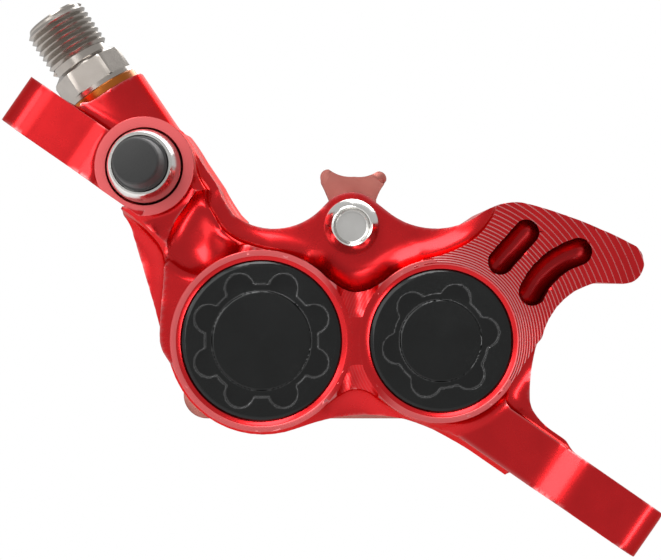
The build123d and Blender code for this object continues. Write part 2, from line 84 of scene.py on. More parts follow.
# Sizes of the body's own forms, in millimetres.
BLEED_BOSS_RADIUS, BLEED_BOSS_TOP, BLEED_BOSS_FOOT = 5.6, 18.5, -6.6
HOSE_BOSS_RADIUS, HOSE_BOSS_LENGTH = 5.3, 24
ARM_END, ARM_FRONT, ARM_STEP = 44.8, 17.6, 2.4
ARM_STEP_START, ARM_STEP_RUN = 28.0, 7.2
ARM_BACK, ARM_THICKNESS, ARM_CORNER = 2.8, 6.05, 3.8
LONG_ARM_ROOT, SHORT_ARM_ROOT = 11.0, 21.0
VALLEY_HEIGHT, VALLEY_RADIUS = 21.0, 5.0
NOTCH_TRACK, NOTCH_RADIUS = ((-13.4, 18.6, 19.0), (-16.5, 15.2, 19.6)), 3.2

# The slope round the bleed boss: where it starts, how steep it is and how far it reaches, in millimetres.
FALL_HEIGHT, FALL_START, FALL_RISE, FALL_REACH = 17.2, 6.3, 0.95, 11
FALL_LEVEL, TERRACE_LEVEL = 0.725, 0.94

# Radii of the fillets and rounded edges, in millimetres.
PEANUT_FILLET, PLATEAU_FILLET, VALLEY_FILLET = 6.0, 4.0, 2.5
HOSE_FILLET, ARM_FILLET, BOSS_FILLET = 1.6, 2.2, 0.8
TOP_EDGE, VALLEY_EDGE, SIDE_EDGE = 1.2, 1.0, 0.6

# Sizes of the holes and pockets, in millimetres; floors are heights above the disc's middle plane.
LARGE_BORE, SMALL_BORE, BORE_FLOOR = 8.03, 7.03, -16.0
CAP_SEAT_FLOOR = 15.95
ROTOR_GAP, ROTOR_DROP, ROTOR_RADIUS = 2.4, 81.1, 91.5
POCKET_DEPTH, POCKET_REACH, POCKET_TOP = 6.6, 20.1, 8.9
WINDOW_REACH, WINDOW_FOOT = 12.4, 8.0
NIPPLE_SEAT, NIPPLE_SEAT_FLOOR = 5.0, 13.5
NIPPLE_DRILLING, NIPPLE_DRILLING_FLOOR = 2.6, 7.5
PIN_HOLE = 2.08
HOSE_HOLE, HOSE_HOLE_DEPTH = 3.0, 9
POST_SLOT_RADIUS, POST_SLOT_RUN = 3.2, 2.0
POST_PAD_START, POST_PAD_HEIGHT = 27.0, 2

# Outlines in shares of the bore spacing: one point ends a straight run, two make an arc.
ARC_STEPS = 14
SKIRT_START = (-1.037, -0.094)
SKIRT_LEFT = [
    ((-0.833, -0.429), (-0.305, -0.507)),
    ((0.089, -0.433), (0.478, -0.500)),
]
SKIRT_ARM = [
    ((0.591, -0.552), (0.704, -0.613)),
    ((1.026, -0.836),),
    ((1.196, -0.592),),
    ((1.143, -0.555),),
    ((1.062, -0.473), (1.025, -0.345)),
]
SKIRT_NO_ARM = [((0.852, -0.369), (1.025, -0.345))]
SKIRT_TOP = [
    ((1.032, -0.177), (1.059, -0.025)),
    ((1.158, 0.192), (1.389, 0.323)),
    ((1.537, 0.316),),
    ((1.659, 0.424), (1.581, 0.547)),
    ((1.298, 0.672), (0.985, 0.771)),
    ((0.877, 0.773), (0.739, 0.714)),
    ((0.458, 0.634), (0.207, 0.734)),
    ((0.145, 0.783),),
    ((0.006, 0.840), (-0.133, 0.783)),
    ((-0.182, 0.732),),
    ((-0.453, 0.632), (-0.670, 0.712)),
    ((-0.727, 0.798), (-0.768, 0.887)),
    ((-0.968, 1.182),),
    ((-1.160, 1.085),),
    ((-1.404, 0.846),),
    ((-1.323, 0.790),),
    ((-1.271, 0.700), (-1.241, 0.591)),
    ((-1.037, -0.094),),
]
BRANCH = [
    ((-0.700, 0.100),),
    ((-1.005, 0.000),),
    ((-1.022, 0.240), (-1.040, 0.420)),
    ((-1.082, 0.560), (-1.190, 0.680)),
    ((-1.480, 0.900),),
    ((-0.930, 1.100),),
    ((-0.810, 0.760),),
    ((-0.640, 0.480),),
]
TAIL = [
    ((0.700, -0.100),),
    ((0.800, -0.330),),
    ((0.862, -0.290),),
    ((1.034, -0.020),),
    ((1.080, 0.030),),
    ((1.900, -0.100),),
    ((1.900, 1.100),),
    ((0.850, 0.900),),
    ((0.812, 0.730),),
    ((0.735, 0.610), (0.601, 0.516)),
    ((0.500, 0.476), (0.400, 0.452)),
    ((0.330, 0.415),),
    ((0.396, 0.300),),
]
SHORT_SLOT = [(0.833, 0.439), (0.985, 0.607)]
LONG_SLOT = [(1.010, 0.271), (1.134, 0.423), (1.281, 0.497)]
VALLEY = [(-0.950, 0.720), (-0.840, 0.600)]
SLOTS = ((SHORT_SLOT, 1.45, 16.1), (LONG_SLOT, 1.55, 15.4))
SCOOPS = [((0.71, side * 4.6, 21.75), (0.71, side * 9.0, 20.2)) for side in (1, -1)]
SCOOP_RADIUS = 2.6


def to_row(x, y, h):
    """Front view of the bores, in millimetres, to the row frame in metres."""
    return (
        (BORES_ALONG + x * COS - y * SIN) * MM,
        (DISC_Y - h) * MM,
        (BORES_UP + x * SIN + y * COS) * MM,
    )


def outline_points(rows, start=None):
    """Points along an outline of runs and three-point arcs, in millimetres."""
    here = np.array(start if start else rows[-1][-1], float)
    points = []
    for row in rows:
        end = np.array(row[-1], float)
        if len(row) == 1:
            points.append(here)
        else:
            points.extend(arc_points(here, np.array(row[0], float), end, ARC_STEPS))
        here = end
    return np.array(points) * SPACING


def arc_points(a, b, c, steps):
    """Points on the circle through a, b and c, from a up to just before c."""
    square = [p @ p for p in (a, b, c)]
    d = 2 * (a[0] * (b[1] - c[1]) + b[0] * (c[1] - a[1]) + c[0] * (a[1] - b[1]))
    ux = (square[0] * (b[1] - c[1]) + square[1] * (c[1] - a[1]) + square[2] * (a[1] - b[1])) / d
    uy = (square[0] * (c[0] - b[0]) + square[1] * (a[0] - c[0]) + square[2] * (b[0] - a[0])) / d
    centre = np.array((ux, uy))
    radius = np.hypot(*(a - centre))
    first, middle, last = (math.atan2(*(p - centre)[::-1]) for p in (a, b, c))
    turn = (last - first) % (2 * math.pi)
    if (middle - first) % (2 * math.pi) > turn:
        turn -= 2 * math.pi
    angles = [first + turn * n / steps for n in range(steps)]
    return [centre + radius * np.array((math.cos(t), math.sin(t))) for t in angles]


class OutlineField:
    """Signed distance to a closed outline, kept on a fine grid and read between its points."""

    STEP = 0.12
    LOW = np.array((-46.0, -26.0))
    SIZE = (720, 520)

    def __init__(self, points):
        xs = self.LOW[0] + self.STEP * np.arange(self.SIZE[0])
        ys = self.LOW[1] + self.STEP * np.arange(self.SIZE[1])
        gx, gy = np.meshgrid(xs, ys, indexing="ij")
        nearest = np.full(gx.shape, 1e9)
        inside = np.zeros(gx.shape, bool)
        for a, b in zip(points, np.roll(points, -1, axis=0)):
            along = b - a
            t = np.clip(((gx - a[0]) * along[0] + (gy - a[1]) * along[1]) / max(along @ along, 1e-9), 0, 1)
            nearest = np.minimum(nearest, (gx - a[0] - t * along[0]) ** 2 + (gy - a[1] - t * along[1]) ** 2)
            if a[1] != b[1]:
                crosses = (a[1] > gy) != (b[1] > gy)
                inside ^= crosses & (gx < a[0] + (gy - a[1]) * along[0] / along[1])
        self.values = (np.sqrt(nearest) * np.where(inside, -1, 1)).astype(np.float32)

    def __call__(self, x, y):
        u = np.clip((x - self.LOW[0]) / self.STEP, 0, self.SIZE[0] - 1.001)
        v = np.clip((y - self.LOW[1]) / self.STEP, 0, self.SIZE[1] - 1.001)
        i, j = u.astype(int), v.astype(int)
        u, v = u - i, v - j
        g = self.values
        low = g[i, j] * (1 - u) + g[i + 1, j] * u
        high = g[i, j + 1] * (1 - u) + g[i + 1, j + 1] * u
        return low * (1 - v) + high * v


def join(a, b, radius):
    """Union of two fields with a round fillet between them."""
    inner = np.hypot(np.maximum(radius - a, 0), np.maximum(radius - b, 0))
    return np.maximum(radius, np.minimum(a, b)) - inner


def meet(a, b, radius):
    """What two fields share, with a rounded edge."""
    return -join(-a, -b, radius)


def cut(a, b):
    """The first field without the second, with a crisp edge."""
    return np.maximum(a, -b)


def capsule_field(x, y, h, start, end, radius):
    """A ball-ended cutter's track between two points."""
    start, end = np.array(start, float), np.array(end, float)
    along = end - start
    dx, dy, dh = x - start[0], y - start[1], h - start[2]
    t = np.clip((dx * along[0] + dy * along[1] + dh * along[2]) / max(along @ along, 1e-9), 0, 1)
    return np.sqrt((dx - t * along[0]) ** 2 + (dy - t * along[1]) ** 2 + (dh - t * along[2]) ** 2) - radius


def slots_field(x, y, h):
    """The two ball-ended slots of the tail."""
    field = np.full(np.shape(x), 1e3)
    for shares, radius, floor in SLOTS:
        points = [np.array(p) * SPACING for p in shares]
        if len(points) > 2:
            points = arc_points(*points, 6) + points[-1:]
        low = np.minimum(h, floor)
        for a, b in zip(points, points[1:]):
            field = np.minimum(field, capsule_field(x, y, low, (*a, floor), (*b, floor), radius))
    return field


TERRACE_START, TERRACE_PITCH, TERRACE_GROWTH, TERRACE_DROP, TAIL_TOP = 8.75, 0.25, 0.038, 0.143, 19.95


def terraces(reach):
    """How many terraces lie between the small bore's ring and this distance; they widen outwards."""
    past = np.maximum(reach - TERRACE_START, 0)
    return np.log1p(past * TERRACE_GROWTH / TERRACE_PITCH) / TERRACE_GROWTH


class BodyField:
    """The milled body as one distance field, in the bores' front view, millimetres."""

    def __init__(self, sizes):
        self.sizes = sizes
        full = SKIRT_LEFT + SKIRT_ARM + SKIRT_TOP
        bare = SKIRT_LEFT + SKIRT_NO_ARM + SKIRT_TOP
        self.skirt = OutlineField(outline_points(full, SKIRT_START))
        self.inner = OutlineField(outline_points(bare, SKIRT_START))
        self.branch = OutlineField(outline_points(BRANCH))
        self.tail = OutlineField(outline_points(TAIL))

    def tail_top(self, reach):
        """Height of the tail's milled face at a distance from the small bore."""
        return TAIL_TOP - TERRACE_DROP * terraces(reach)

    def __call__(self, x, y, h):
        cove = self.sizes.cove_radius
        along = BORES_ALONG + x * COS - y * SIN
        up = BORES_UP + x * SIN + y * COS
        large = np.hypot(x - LARGE_X, y)
        small = np.hypot(x - SMALL_X, y)
        peanut = join(large - LARGE_PLATEAU, small - SMALL_PLATEAU, PEANUT_FILLET)
        tail = self.tail(x, y)
        branch = self.branch(x, y)
        plateau = join(peanut, branch, PLATEAU_FILLET)
        beside = np.hypot(x - BLEED[0], y - BLEED[1])
        fall = (h - FALL_HEIGHT - FALL_RISE * np.maximum(beside - FALL_START, 0)) * FALL_LEVEL
        top = meet(np.maximum(plateau, h - FACE), np.where(beside < FALL_REACH, fall, -1e3), TOP_EDGE)
        terraced = (h - self.tail_top(small)) * TERRACE_LEVEL
        top = np.minimum(top, np.maximum(tail, terraced))
        top = np.where(tail < 0, np.maximum(top, terraced), top)
        upper = join(top, h - FLANGE, cove)
        under = join(meet(peanut, -h - INNER_FACE, SIDE_EDGE), -h - FLANGE, cove)
        side = np.minimum(self.inner(x, y), np.maximum(self.skirt(x, y), ARM_BACK - h))
        field = meet(np.maximum(upper, side), under, SIDE_EDGE)
        start, end = (np.append(np.array(p) * SPACING, VALLEY_HEIGHT) for p in VALLEY)
        valley = capsule_field(x, y, h, start, end, VALLEY_RADIUS)
        notch = capsule_field(x, y, h, *NOTCH_TRACK, NOTCH_RADIUS)
        field = meet(field, -join(valley, notch, VALLEY_FILLET), VALLEY_EDGE)
        boss = np.maximum(np.maximum(beside - BLEED_BOSS_RADIUS, -up),
                          np.maximum(h - BLEED_BOSS_TOP, BLEED_BOSS_FOOT - h))
        hx, hy, hh = x - HOSE_FACE[0], y - HOSE_FACE[1], h - HOSE_FACE[2]
        run = hx * HOSE_AXIS[0] + hy * HOSE_AXIS[1]
        off = np.hypot(hx * HOSE_AXIS[1] - hy * HOSE_AXIS[0], hh)
        hose = np.maximum(off - HOSE_BOSS_RADIUS, np.maximum(run, -HOSE_BOSS_LENGTH - run))
        field = join(field, hose, HOSE_FILLET)
        field = join(field, self.arms(along, up, h), ARM_FILLET)
        field = join(field, boss, BOSS_FILLET)
        beyond_pads = (np.abs(along) > POST_PAD_START) & (up < POST_PAD_HEIGHT)
        field = np.maximum(field, np.where(beyond_pads, -up, -1e3))
        return self.milled(field, x, y, h, along, large, small, run, off)

    def arms(self, along, up, h):
        """Both mounting arms with the step in their outer face and rounded ends."""
        reach = np.abs(along)
        share = np.clip((reach - ARM_STEP_START) / ARM_STEP_RUN, 0, 1)
        front = ARM_FRONT - ARM_STEP * share * share * (3 - 2 * share)
        plan = meet(meet(reach - ARM_END, (h - front) * 0.9, ARM_CORNER), ARM_BACK - h, ARM_CORNER)
        inside = np.where(along > 0, LONG_ARM_ROOT - along, SHORT_ARM_ROOT + along)
        slab = np.maximum(up - ARM_THICKNESS, -up)
        return np.maximum(np.maximum(plan, slab), inside)

    def milled(self, field, x, y, h, along, large, small, run, off):
        """Everything the cutters take out."""
        for near, bore, ring in ((large, LARGE_BORE, LARGE_RING), (small, SMALL_BORE, SMALL_RING)):
            field = cut(field, np.maximum(near - bore, BORE_FLOOR - h))
            field = cut(field, np.maximum(near - ring, CAP_SEAT_FLOOR - h))
        for track in SCOOPS:
            field = cut(field, capsule_field(x, y, h, *track, SCOOP_RADIUS))
        field = cut(field, slots_field(x, y, h))
        rotor = np.maximum(np.abs(h) - ROTOR_GAP, np.hypot(x, y + ROTOR_DROP) - ROTOR_RADIUS)
        pocket = np.maximum(np.maximum(np.abs(h) - POCKET_DEPTH, np.abs(x) - POCKET_REACH), y - POCKET_TOP)
        window = np.maximum(np.maximum(np.abs(h) - POCKET_DEPTH, np.abs(x) - WINDOW_REACH), WINDOW_FOOT - y)
        field = cut(field, np.minimum(np.minimum(rotor, pocket), window))
        bleed = np.hypot(x - BLEED[0], y - BLEED[1])
        field = cut(field, np.maximum(bleed - NIPPLE_SEAT, NIPPLE_SEAT_FLOOR - h))
        field = cut(field, np.maximum(bleed - NIPPLE_DRILLING, NIPPLE_DRILLING_FLOOR - h))
        field = cut(field, np.hypot(x - PIN[0], y - PIN[1]) - PIN_HOLE)
        field = cut(field, np.maximum(off - HOSE_HOLE, -HOSE_HOLE_DEPTH - run))
        for side in (-1, 1):
            away = np.abs(h - DISC_Y) - POST_SLOT_RUN
            slot = np.hypot(along - side * POST_SPACING / 2, np.maximum(away, 0)) - POST_SLOT_RADIUS
            field = cut(field, slot)
        return field


def flat_view(points):
    """Points as they are, for a field with axes of its own."""
    return points[:, 0], points[:, 1], points[:, 2]


def in_bore_view(points):
    """Row-frame millimetres (along, up, height) to the bores' front view."""
    a, b = points[:, 0] - BORES_ALONG, points[:, 1] - BORES_UP
    return a * COS + b * SIN, -a * SIN + b * COS, points[:, 2]


# How contour measures slopes, holds a vertex near its crossings, and tells a crease, in shares.
SLOPE_STEP, HOLD, MOST_MOVE = 0.04, 0.06, 0.75
CREASE_FROM, CREASE_RUN = 0.04, 0.12


def contour(field, low, high, cell, view=flat_view):
    """Turns a distance field into quads: a vertex in each crossed cell, set on the planes that cross it."""
    low = np.array(low, float)
    counts = [int(math.ceil((high[k] - low[k]) / cell)) + 1 for k in range(3)]
    axes = [low[k] + cell * np.arange(counts[k]) for k in range(3)]
    values = np.empty(counts, np.float32)
    for n, along in enumerate(axes[0]):
        gu, gh = np.meshgrid(axes[1], axes[2], indexing="ij")
        points = np.stack([np.full(gu.size, along), gu.ravel(), gh.ravel()], axis=1)
        values[n] = field(*view(points)).reshape(gu.shape)
    inside = values < 0
    cells_size = [c - 1 for c in counts]
    crossings, homes, flips = [], [], []
    for axis in range(3):
        first = [slice(0, -1) if k == axis else slice(1, -1) for k in range(3)]
        second = [slice(1, None) if k == axis else slice(1, -1) for k in range(3)]
        changed = inside[tuple(first)] != inside[tuple(second)]
        index = np.argwhere(changed)
        index[:, [k for k in range(3) if k != axis]] += 1
        a = values[tuple(index.T)]
        step = np.zeros(3, int)
        step[axis] = 1
        b = values[tuple((index + step).T)]
        point = low + cell * index
        point[:, axis] += cell * a / (a - b)
        one, two = [(axis + 1) % 3, (axis + 2) % 3]
        around = []
        for du, dv in ((0, 0), (1, 0), (1, 1), (0, 1)):
            home = index.copy()
            home[:, one] -= du
            home[:, two] -= dv
            around.append(np.ravel_multi_index(home.T, cells_size))
        around = np.stack(around, axis=1)
        crossings.append(point)
        homes.append(around)
        flips.append(a > 0)
    point = np.concatenate(crossings)
    home = np.concatenate(homes)
    flip = np.concatenate(flips)
    normal = np.empty_like(point)
    eps = cell * SLOPE_STEP
    for k in range(3):
        shift = np.zeros(3)
        shift[k] = eps
        normal[:, k] = field(*view(point + shift)) - field(*view(point - shift))
    normal /= np.maximum(np.linalg.norm(normal, axis=1, keepdims=True), 1e-9)
    ids, where = np.unique(home, return_inverse=True)
    where = where.reshape(home.shape)
    total = len(ids)
    flat = where.ravel()
    spread = np.repeat(point, 4, axis=0)
    normals = np.repeat(normal, 4, axis=0)
    count = np.bincount(flat, minlength=total)
    mean = np.stack([np.bincount(flat, spread[:, k], total) / count for k in range(3)], axis=1)
    offset = np.einsum("ij,ij->i", normals, spread - mean[flat])
    matrix = np.zeros((total, 3, 3))
    right = np.zeros((total, 3))
    for i in range(3):
        right[:, i] = np.bincount(flat, normals[:, i] * offset, total)
        for j in range(3):
            matrix[:, i, j] = np.bincount(flat, normals[:, i] * normals[:, j], total)
    matrix += np.eye(3) * HOLD
    move = np.linalg.solve(matrix, right[..., None])[..., 0]
    size = np.linalg.norm(move, axis=1, keepdims=True)
    move *= np.minimum(1, MOST_MOVE * cell / np.maximum(size, 1e-9))
    quads = np.where(flip[:, None], where[:, ::-1], where)
    agree = np.stack([np.bincount(flat, normals[:, k], total) / count for k in range(3)], axis=1)
    crease = np.clip((1 - np.linalg.norm(agree, axis=1) - CREASE_FROM) / CREASE_RUN, 0, 1)
    return mean + move, quads, crease


def contoured_mesh(name, verts, quads, crease):
    """A mesh from contour's result, in metres, with its creases kept as an attribute."""
    mesh = bpy.data.meshes.new(name)
    mesh.from_pydata((verts * MM).tolist(), [], quads.tolist())
    mesh.attributes.new("crease", "FLOAT", "POINT").data.foreach_set("value", crease.astype(np.float32))
    return mesh


def smooth_mesh(mesh, angle=30):
    mesh.polygons.foreach_set("use_smooth", [True] * len(mesh.polygons))
    mesh.set_sharp_from_angle(angle=math.radians(angle))
    mesh.update()


def link(mesh, name):
    piece = bpy.data.objects.new(name, mesh)
    bpy.context.scene.collection.objects.link(piece)
    return piece


def dress(piece, body, material, node=None):
    """Gives a piece its material and its body, and hides the node it stands for."""
    if not piece.data.materials:
        piece.data.materials.append(material)
    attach(piece, body)
    if node:
        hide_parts(node)
    return piece


def body_of(node):
    return next(name for name, nodes in frame["record"]["behaviour"]["bodies"].items() if node in nodes)


def slot_of(node):
    return next(s["material_slot"] for s in frame["record"]["subparts"] if s["node"] == node)


def polished_copy(node, material, name):
    """A merged, smooth-shaded copy of a node's own mesh, which stands for the node."""
    mesh = frame["nodes"][node].data.copy()
    mesh.materials.clear()
    work = bmesh.new()
    work.from_mesh(mesh)
    bmesh.ops.remove_doubles(work, verts=work.verts, dist=2e-6)
    bmesh.ops.dissolve_degenerate(work, edges=work.edges, dist=1e-6)
    work.to_mesh(mesh)
    work.free()
    smooth_mesh(mesh, 28)
    return dress(link(mesh, name), body_of(node), material, node)


def lathe(rows, name, place, steps=160, shape=None):
    """A turned mesh: rows are (radius, height); shape bends the radius by angle, for flats."""
    rings = np.array(rows, float)
    angles = np.linspace(0, 2 * math.pi, steps, endpoint=False)
    verts = []
    for radius, height in rings:
        for t in angles:
            r = shape(radius, height, t) if shape else radius
            verts.append(place(r * math.cos(t), r * math.sin(t), height))
    faces = []
    for n in range(len(rings) - 1):
        for k in range(steps):
            a, b = n * steps + k, n * steps + (k + 1) % steps
            faces.append((a, b, b + steps, a + steps))
    mesh = bpy.data.meshes.new(name)
    mesh.from_pydata(verts, [], faces)
    work = bmesh.new()
    work.from_mesh(mesh)
    bmesh.ops.remove_doubles(work, verts=work.verts, dist=1e-7)
    bmesh.ops.recalc_face_normals(work, faces=work.faces)
    work.to_mesh(mesh)
    work.free()
    smooth_mesh(mesh)
    return mesh


def upright(cx, cy):
    """Places a turned piece whose axis is the disc's axis."""
    return lambda x, y, z: to_row(cx + x, cy + y, z)


def on_hose(x, y, z):
    """Places a turned piece on the hose axis; z runs out from the boss's face."""
    return to_row(
        HOSE_FACE[0] + HOSE_AXIS[0] * z - HOSE_AXIS[1] * x,
        HOSE_FACE[1] + HOSE_AXIS[1] * z + HOSE_AXIS[0] * x,
        HOSE_FACE[2] + y,
    )


def hexagon(radius, height, t):
    """Limits the connector's radius to its hexagon, between the hexagon's two ends."""
    if not HEXAGON_LOW < height < HEXAGON_HIGH:
        return radius
    sector = t % (math.pi / 3) - math.pi / 6
    return min(radius, HEXAGON_FLATS / 2 / math.cos(sector))


class Nodes:
    """A short way to write node trees."""

    def __init__(self, tree):
        self.tree = tree

    def add(self, kind, inputs=None, **settings):
        node = self.tree.nodes.new(kind)
        for key, value in settings.items():
            setattr(node, key, value)
        for key, value in (inputs or {}).items():
            if isinstance(value, bpy.types.NodeSocket):
                self.tree.links.new(value, node.inputs[key])
            else:
                node.inputs[key].default_value = value
        return node

    def math(self, operation, *values):
        return self.add("ShaderNodeMath", dict(enumerate(values)), operation=operation).outputs[0]

    def mix(self, share, first, second):
        """Two colours mixed by a share."""
        return self.add("ShaderNodeMix", {0: share, 6: first, 7: second}, data_type="RGBA").outputs[2]

    def group(self, name, **inputs):
        """A shader node group, placed with these values."""
        return self.add("ShaderNodeGroup", inputs, node_tree=bpy.data.node_groups[name])


def new_group(name, inputs, outputs):
    """A shader node group with named sockets: (name, kind, default)."""
    tree = bpy.data.node_groups.new(name, "ShaderNodeTree")
    for label, kind, default in inputs:
        socket = tree.interface.new_socket(label, in_out="INPUT", socket_type=kind)
        socket.default_value = default
    for label, kind in outputs:
        tree.interface.new_socket(label, in_out="OUTPUT", socket_type=kind)
    return tree, Nodes(tree), tree.nodes.new("NodeGroupInput"), tree.nodes.new("NodeGroupOutput")


def bore_view_point(nodes):
    """Object coordinates turned into the bores' front view, in millimetres: x, height, y."""
    where = nodes.add("ShaderNodeTexCoord")
    centre = nodes.add(
        "ShaderNodeVectorMath",
        {0: where.outputs["Object"], 1: (BORES_ALONG * MM, DISC_Y * MM, BORES_UP * MM)},
        operation="SUBTRACT",
    )
    turned = nodes.add(
        "ShaderNodeVectorRotate", {"Vector": centre.outputs[0], "Angle": TILT}, rotation_type="Y_AXIS"
    )
    return nodes.add(
        "ShaderNodeVectorMath", {0: turned.outputs[0], "Scale": 1000.0}, operation="SCALE"
    ).outputs[0]


def reach_from_centre(nodes, given):
    """Where a point lies from a group's Centre, and how far it is from the axis through that."""
    away = nodes.add("ShaderNodeVectorMath", {0: given.outputs["Vector"], 1: given.outputs["Centre"]},
                     operation="SUBTRACT").outputs[0]
    flat = nodes.add("ShaderNodeVectorMath", {0: away, 1: (1, 0, 1)}, operation="MULTIPLY").outputs[0]
    return away, nodes.add("ShaderNodeVectorMath", {0: flat}, operation="LENGTH").outputs["Value"]


def ring_group():
    """Cutter rings round an axis seen face on: a height for Bump and a mask along each ring's step, where a
    highlight is painted.
    """
    tree, nodes, given, out = new_group(
        "cutter_rings",
        [("Vector", "NodeSocketVector", (0, 0, 0)), ("Centre", "NodeSocketVector", (0, 0, 0)),
         ("Pitch", "NodeSocketFloat", 0.3), ("Growth", "NodeSocketFloat", 0.001)],
        [("Height", "NodeSocketFloat"), ("Line", "NodeSocketFloat")],
    )
    _, reach = reach_from_centre(nodes, given)
    swell = nodes.math("DIVIDE", nodes.math("MULTIPLY", reach, given.outputs["Growth"]), given.outputs["Pitch"])
    count = nodes.math("DIVIDE", nodes.math("LOGARITHM", nodes.math("ADD", swell, 1.0), math.e),
                       given.outputs["Growth"])
    share = nodes.math("FRACT", count)
    width = nodes.math("ADD", given.outputs["Pitch"], nodes.math("MULTIPLY", reach, given.outputs["Growth"]))
    left = nodes.math("MULTIPLY", nodes.math("SUBTRACT", 1.0, share), width)
    line = nodes.add("ShaderNodeMapRange", {0: left, 1: 0.19, 2: 0.09, 3: 0.0, 4: 1.0})
    tree.links.new(share, out.inputs["Height"])
    tree.links.new(line.outputs[0], out.inputs["Line"])
    return tree


def land_group():
    """A turned ring face seen face on: full inside its radius and at its height, with faint turning lines."""
    tree, nodes, given, out = new_group(
        "turned_land",
        [("Vector", "NodeSocketVector", (0, 0, 0)), ("Centre", "NodeSocketVector", (0, 0, 0)),
         ("Radius", "NodeSocketFloat", 10.0), ("Height", "NodeSocketFloat", 20.0)],
        [("Mask", "NodeSocketFloat")],
    )
    away, reach = reach_from_centre(nodes, given)
    short = nodes.math("SUBTRACT", given.outputs["Radius"], reach)
    within = nodes.add("ShaderNodeMapRange", {0: short, 1: -0.03, 2: 0.03, 3: 0.0, 4: 1.0}).outputs[0]
    up = nodes.math("MULTIPLY", nodes.add("ShaderNodeSeparateXYZ", {0: away}).outputs["Y"], -1.0)
    level = nodes.math("COMPARE", up, given.outputs["Height"], 0.03)
    lines = nodes.math("MULTIPLY_ADD", nodes.math("SINE", nodes.math("MULTIPLY", reach, 38.0)), 0.12, 0.88)
    tree.links.new(nodes.math("MULTIPLY", nodes.math("MULTIPLY", within, level), lines), out.inputs["Mask"])
    return tree


def wear_group():
    """Fine grain and faint blotches shared by the metals."""
    tree, nodes, given, out = new_group(
        "metal_grain",
        [("Vector", "NodeSocketVector", (0, 0, 0)), ("Grain", "NodeSocketFloat", 40.0),
         ("Roughness", "NodeSocketFloat", 0.25), ("Spread", "NodeSocketFloat", 0.03)],
        [("Roughness", "NodeSocketFloat"), ("Height", "NodeSocketFloat"), ("Blotch", "NodeSocketFloat")],
    )
    where = given.outputs["Vector"]
    fine = nodes.add("ShaderNodeTexNoise", {"Vector": where, "Scale": given.outputs["Grain"], "Detail": 3.0})
    broad = nodes.add("ShaderNodeTexNoise", {"Vector": where, "Scale": 0.35, "Detail": 4.0})
    swing = nodes.math("MULTIPLY", nodes.math("SUBTRACT", broad.outputs["Fac"], 0.5), given.outputs["Spread"])
    tree.links.new(nodes.math("ADD", given.outputs["Roughness"], nodes.math("MULTIPLY", swing, 2.0)),
                   out.inputs["Roughness"])
    tree.links.new(fine.outputs["Fac"], out.inputs["Height"])
    tree.links.new(broad.outputs["Fac"], out.inputs["Blotch"])
    return tree


def start_material(name):
    material = bpy.data.materials.new(name)
    material.use_nodes = True
    tree = material.node_tree
    tree.nodes.clear()
    nodes = Nodes(tree)
    shader = nodes.add("ShaderNodeBsdfPrincipled")
    output = nodes.add("ShaderNodeOutputMaterial")
    tree.links.new(shader.outputs[0], output.inputs[0])
    return material, nodes, shader


# The turned faces that get a painted highlight, as x, y, radius and height; the waist between the caps is left
# out.
WAIST_X, WAIST_HALF, WAIST_EDGE = 0.7, 2.0, 5.0
LANDS = ((LARGE_X, 0.0, LARGE_PLATEAU, FACE), (SMALL_X, 0.0, SMALL_PLATEAU, FACE), (*BLEED, 5.75, 18.5))


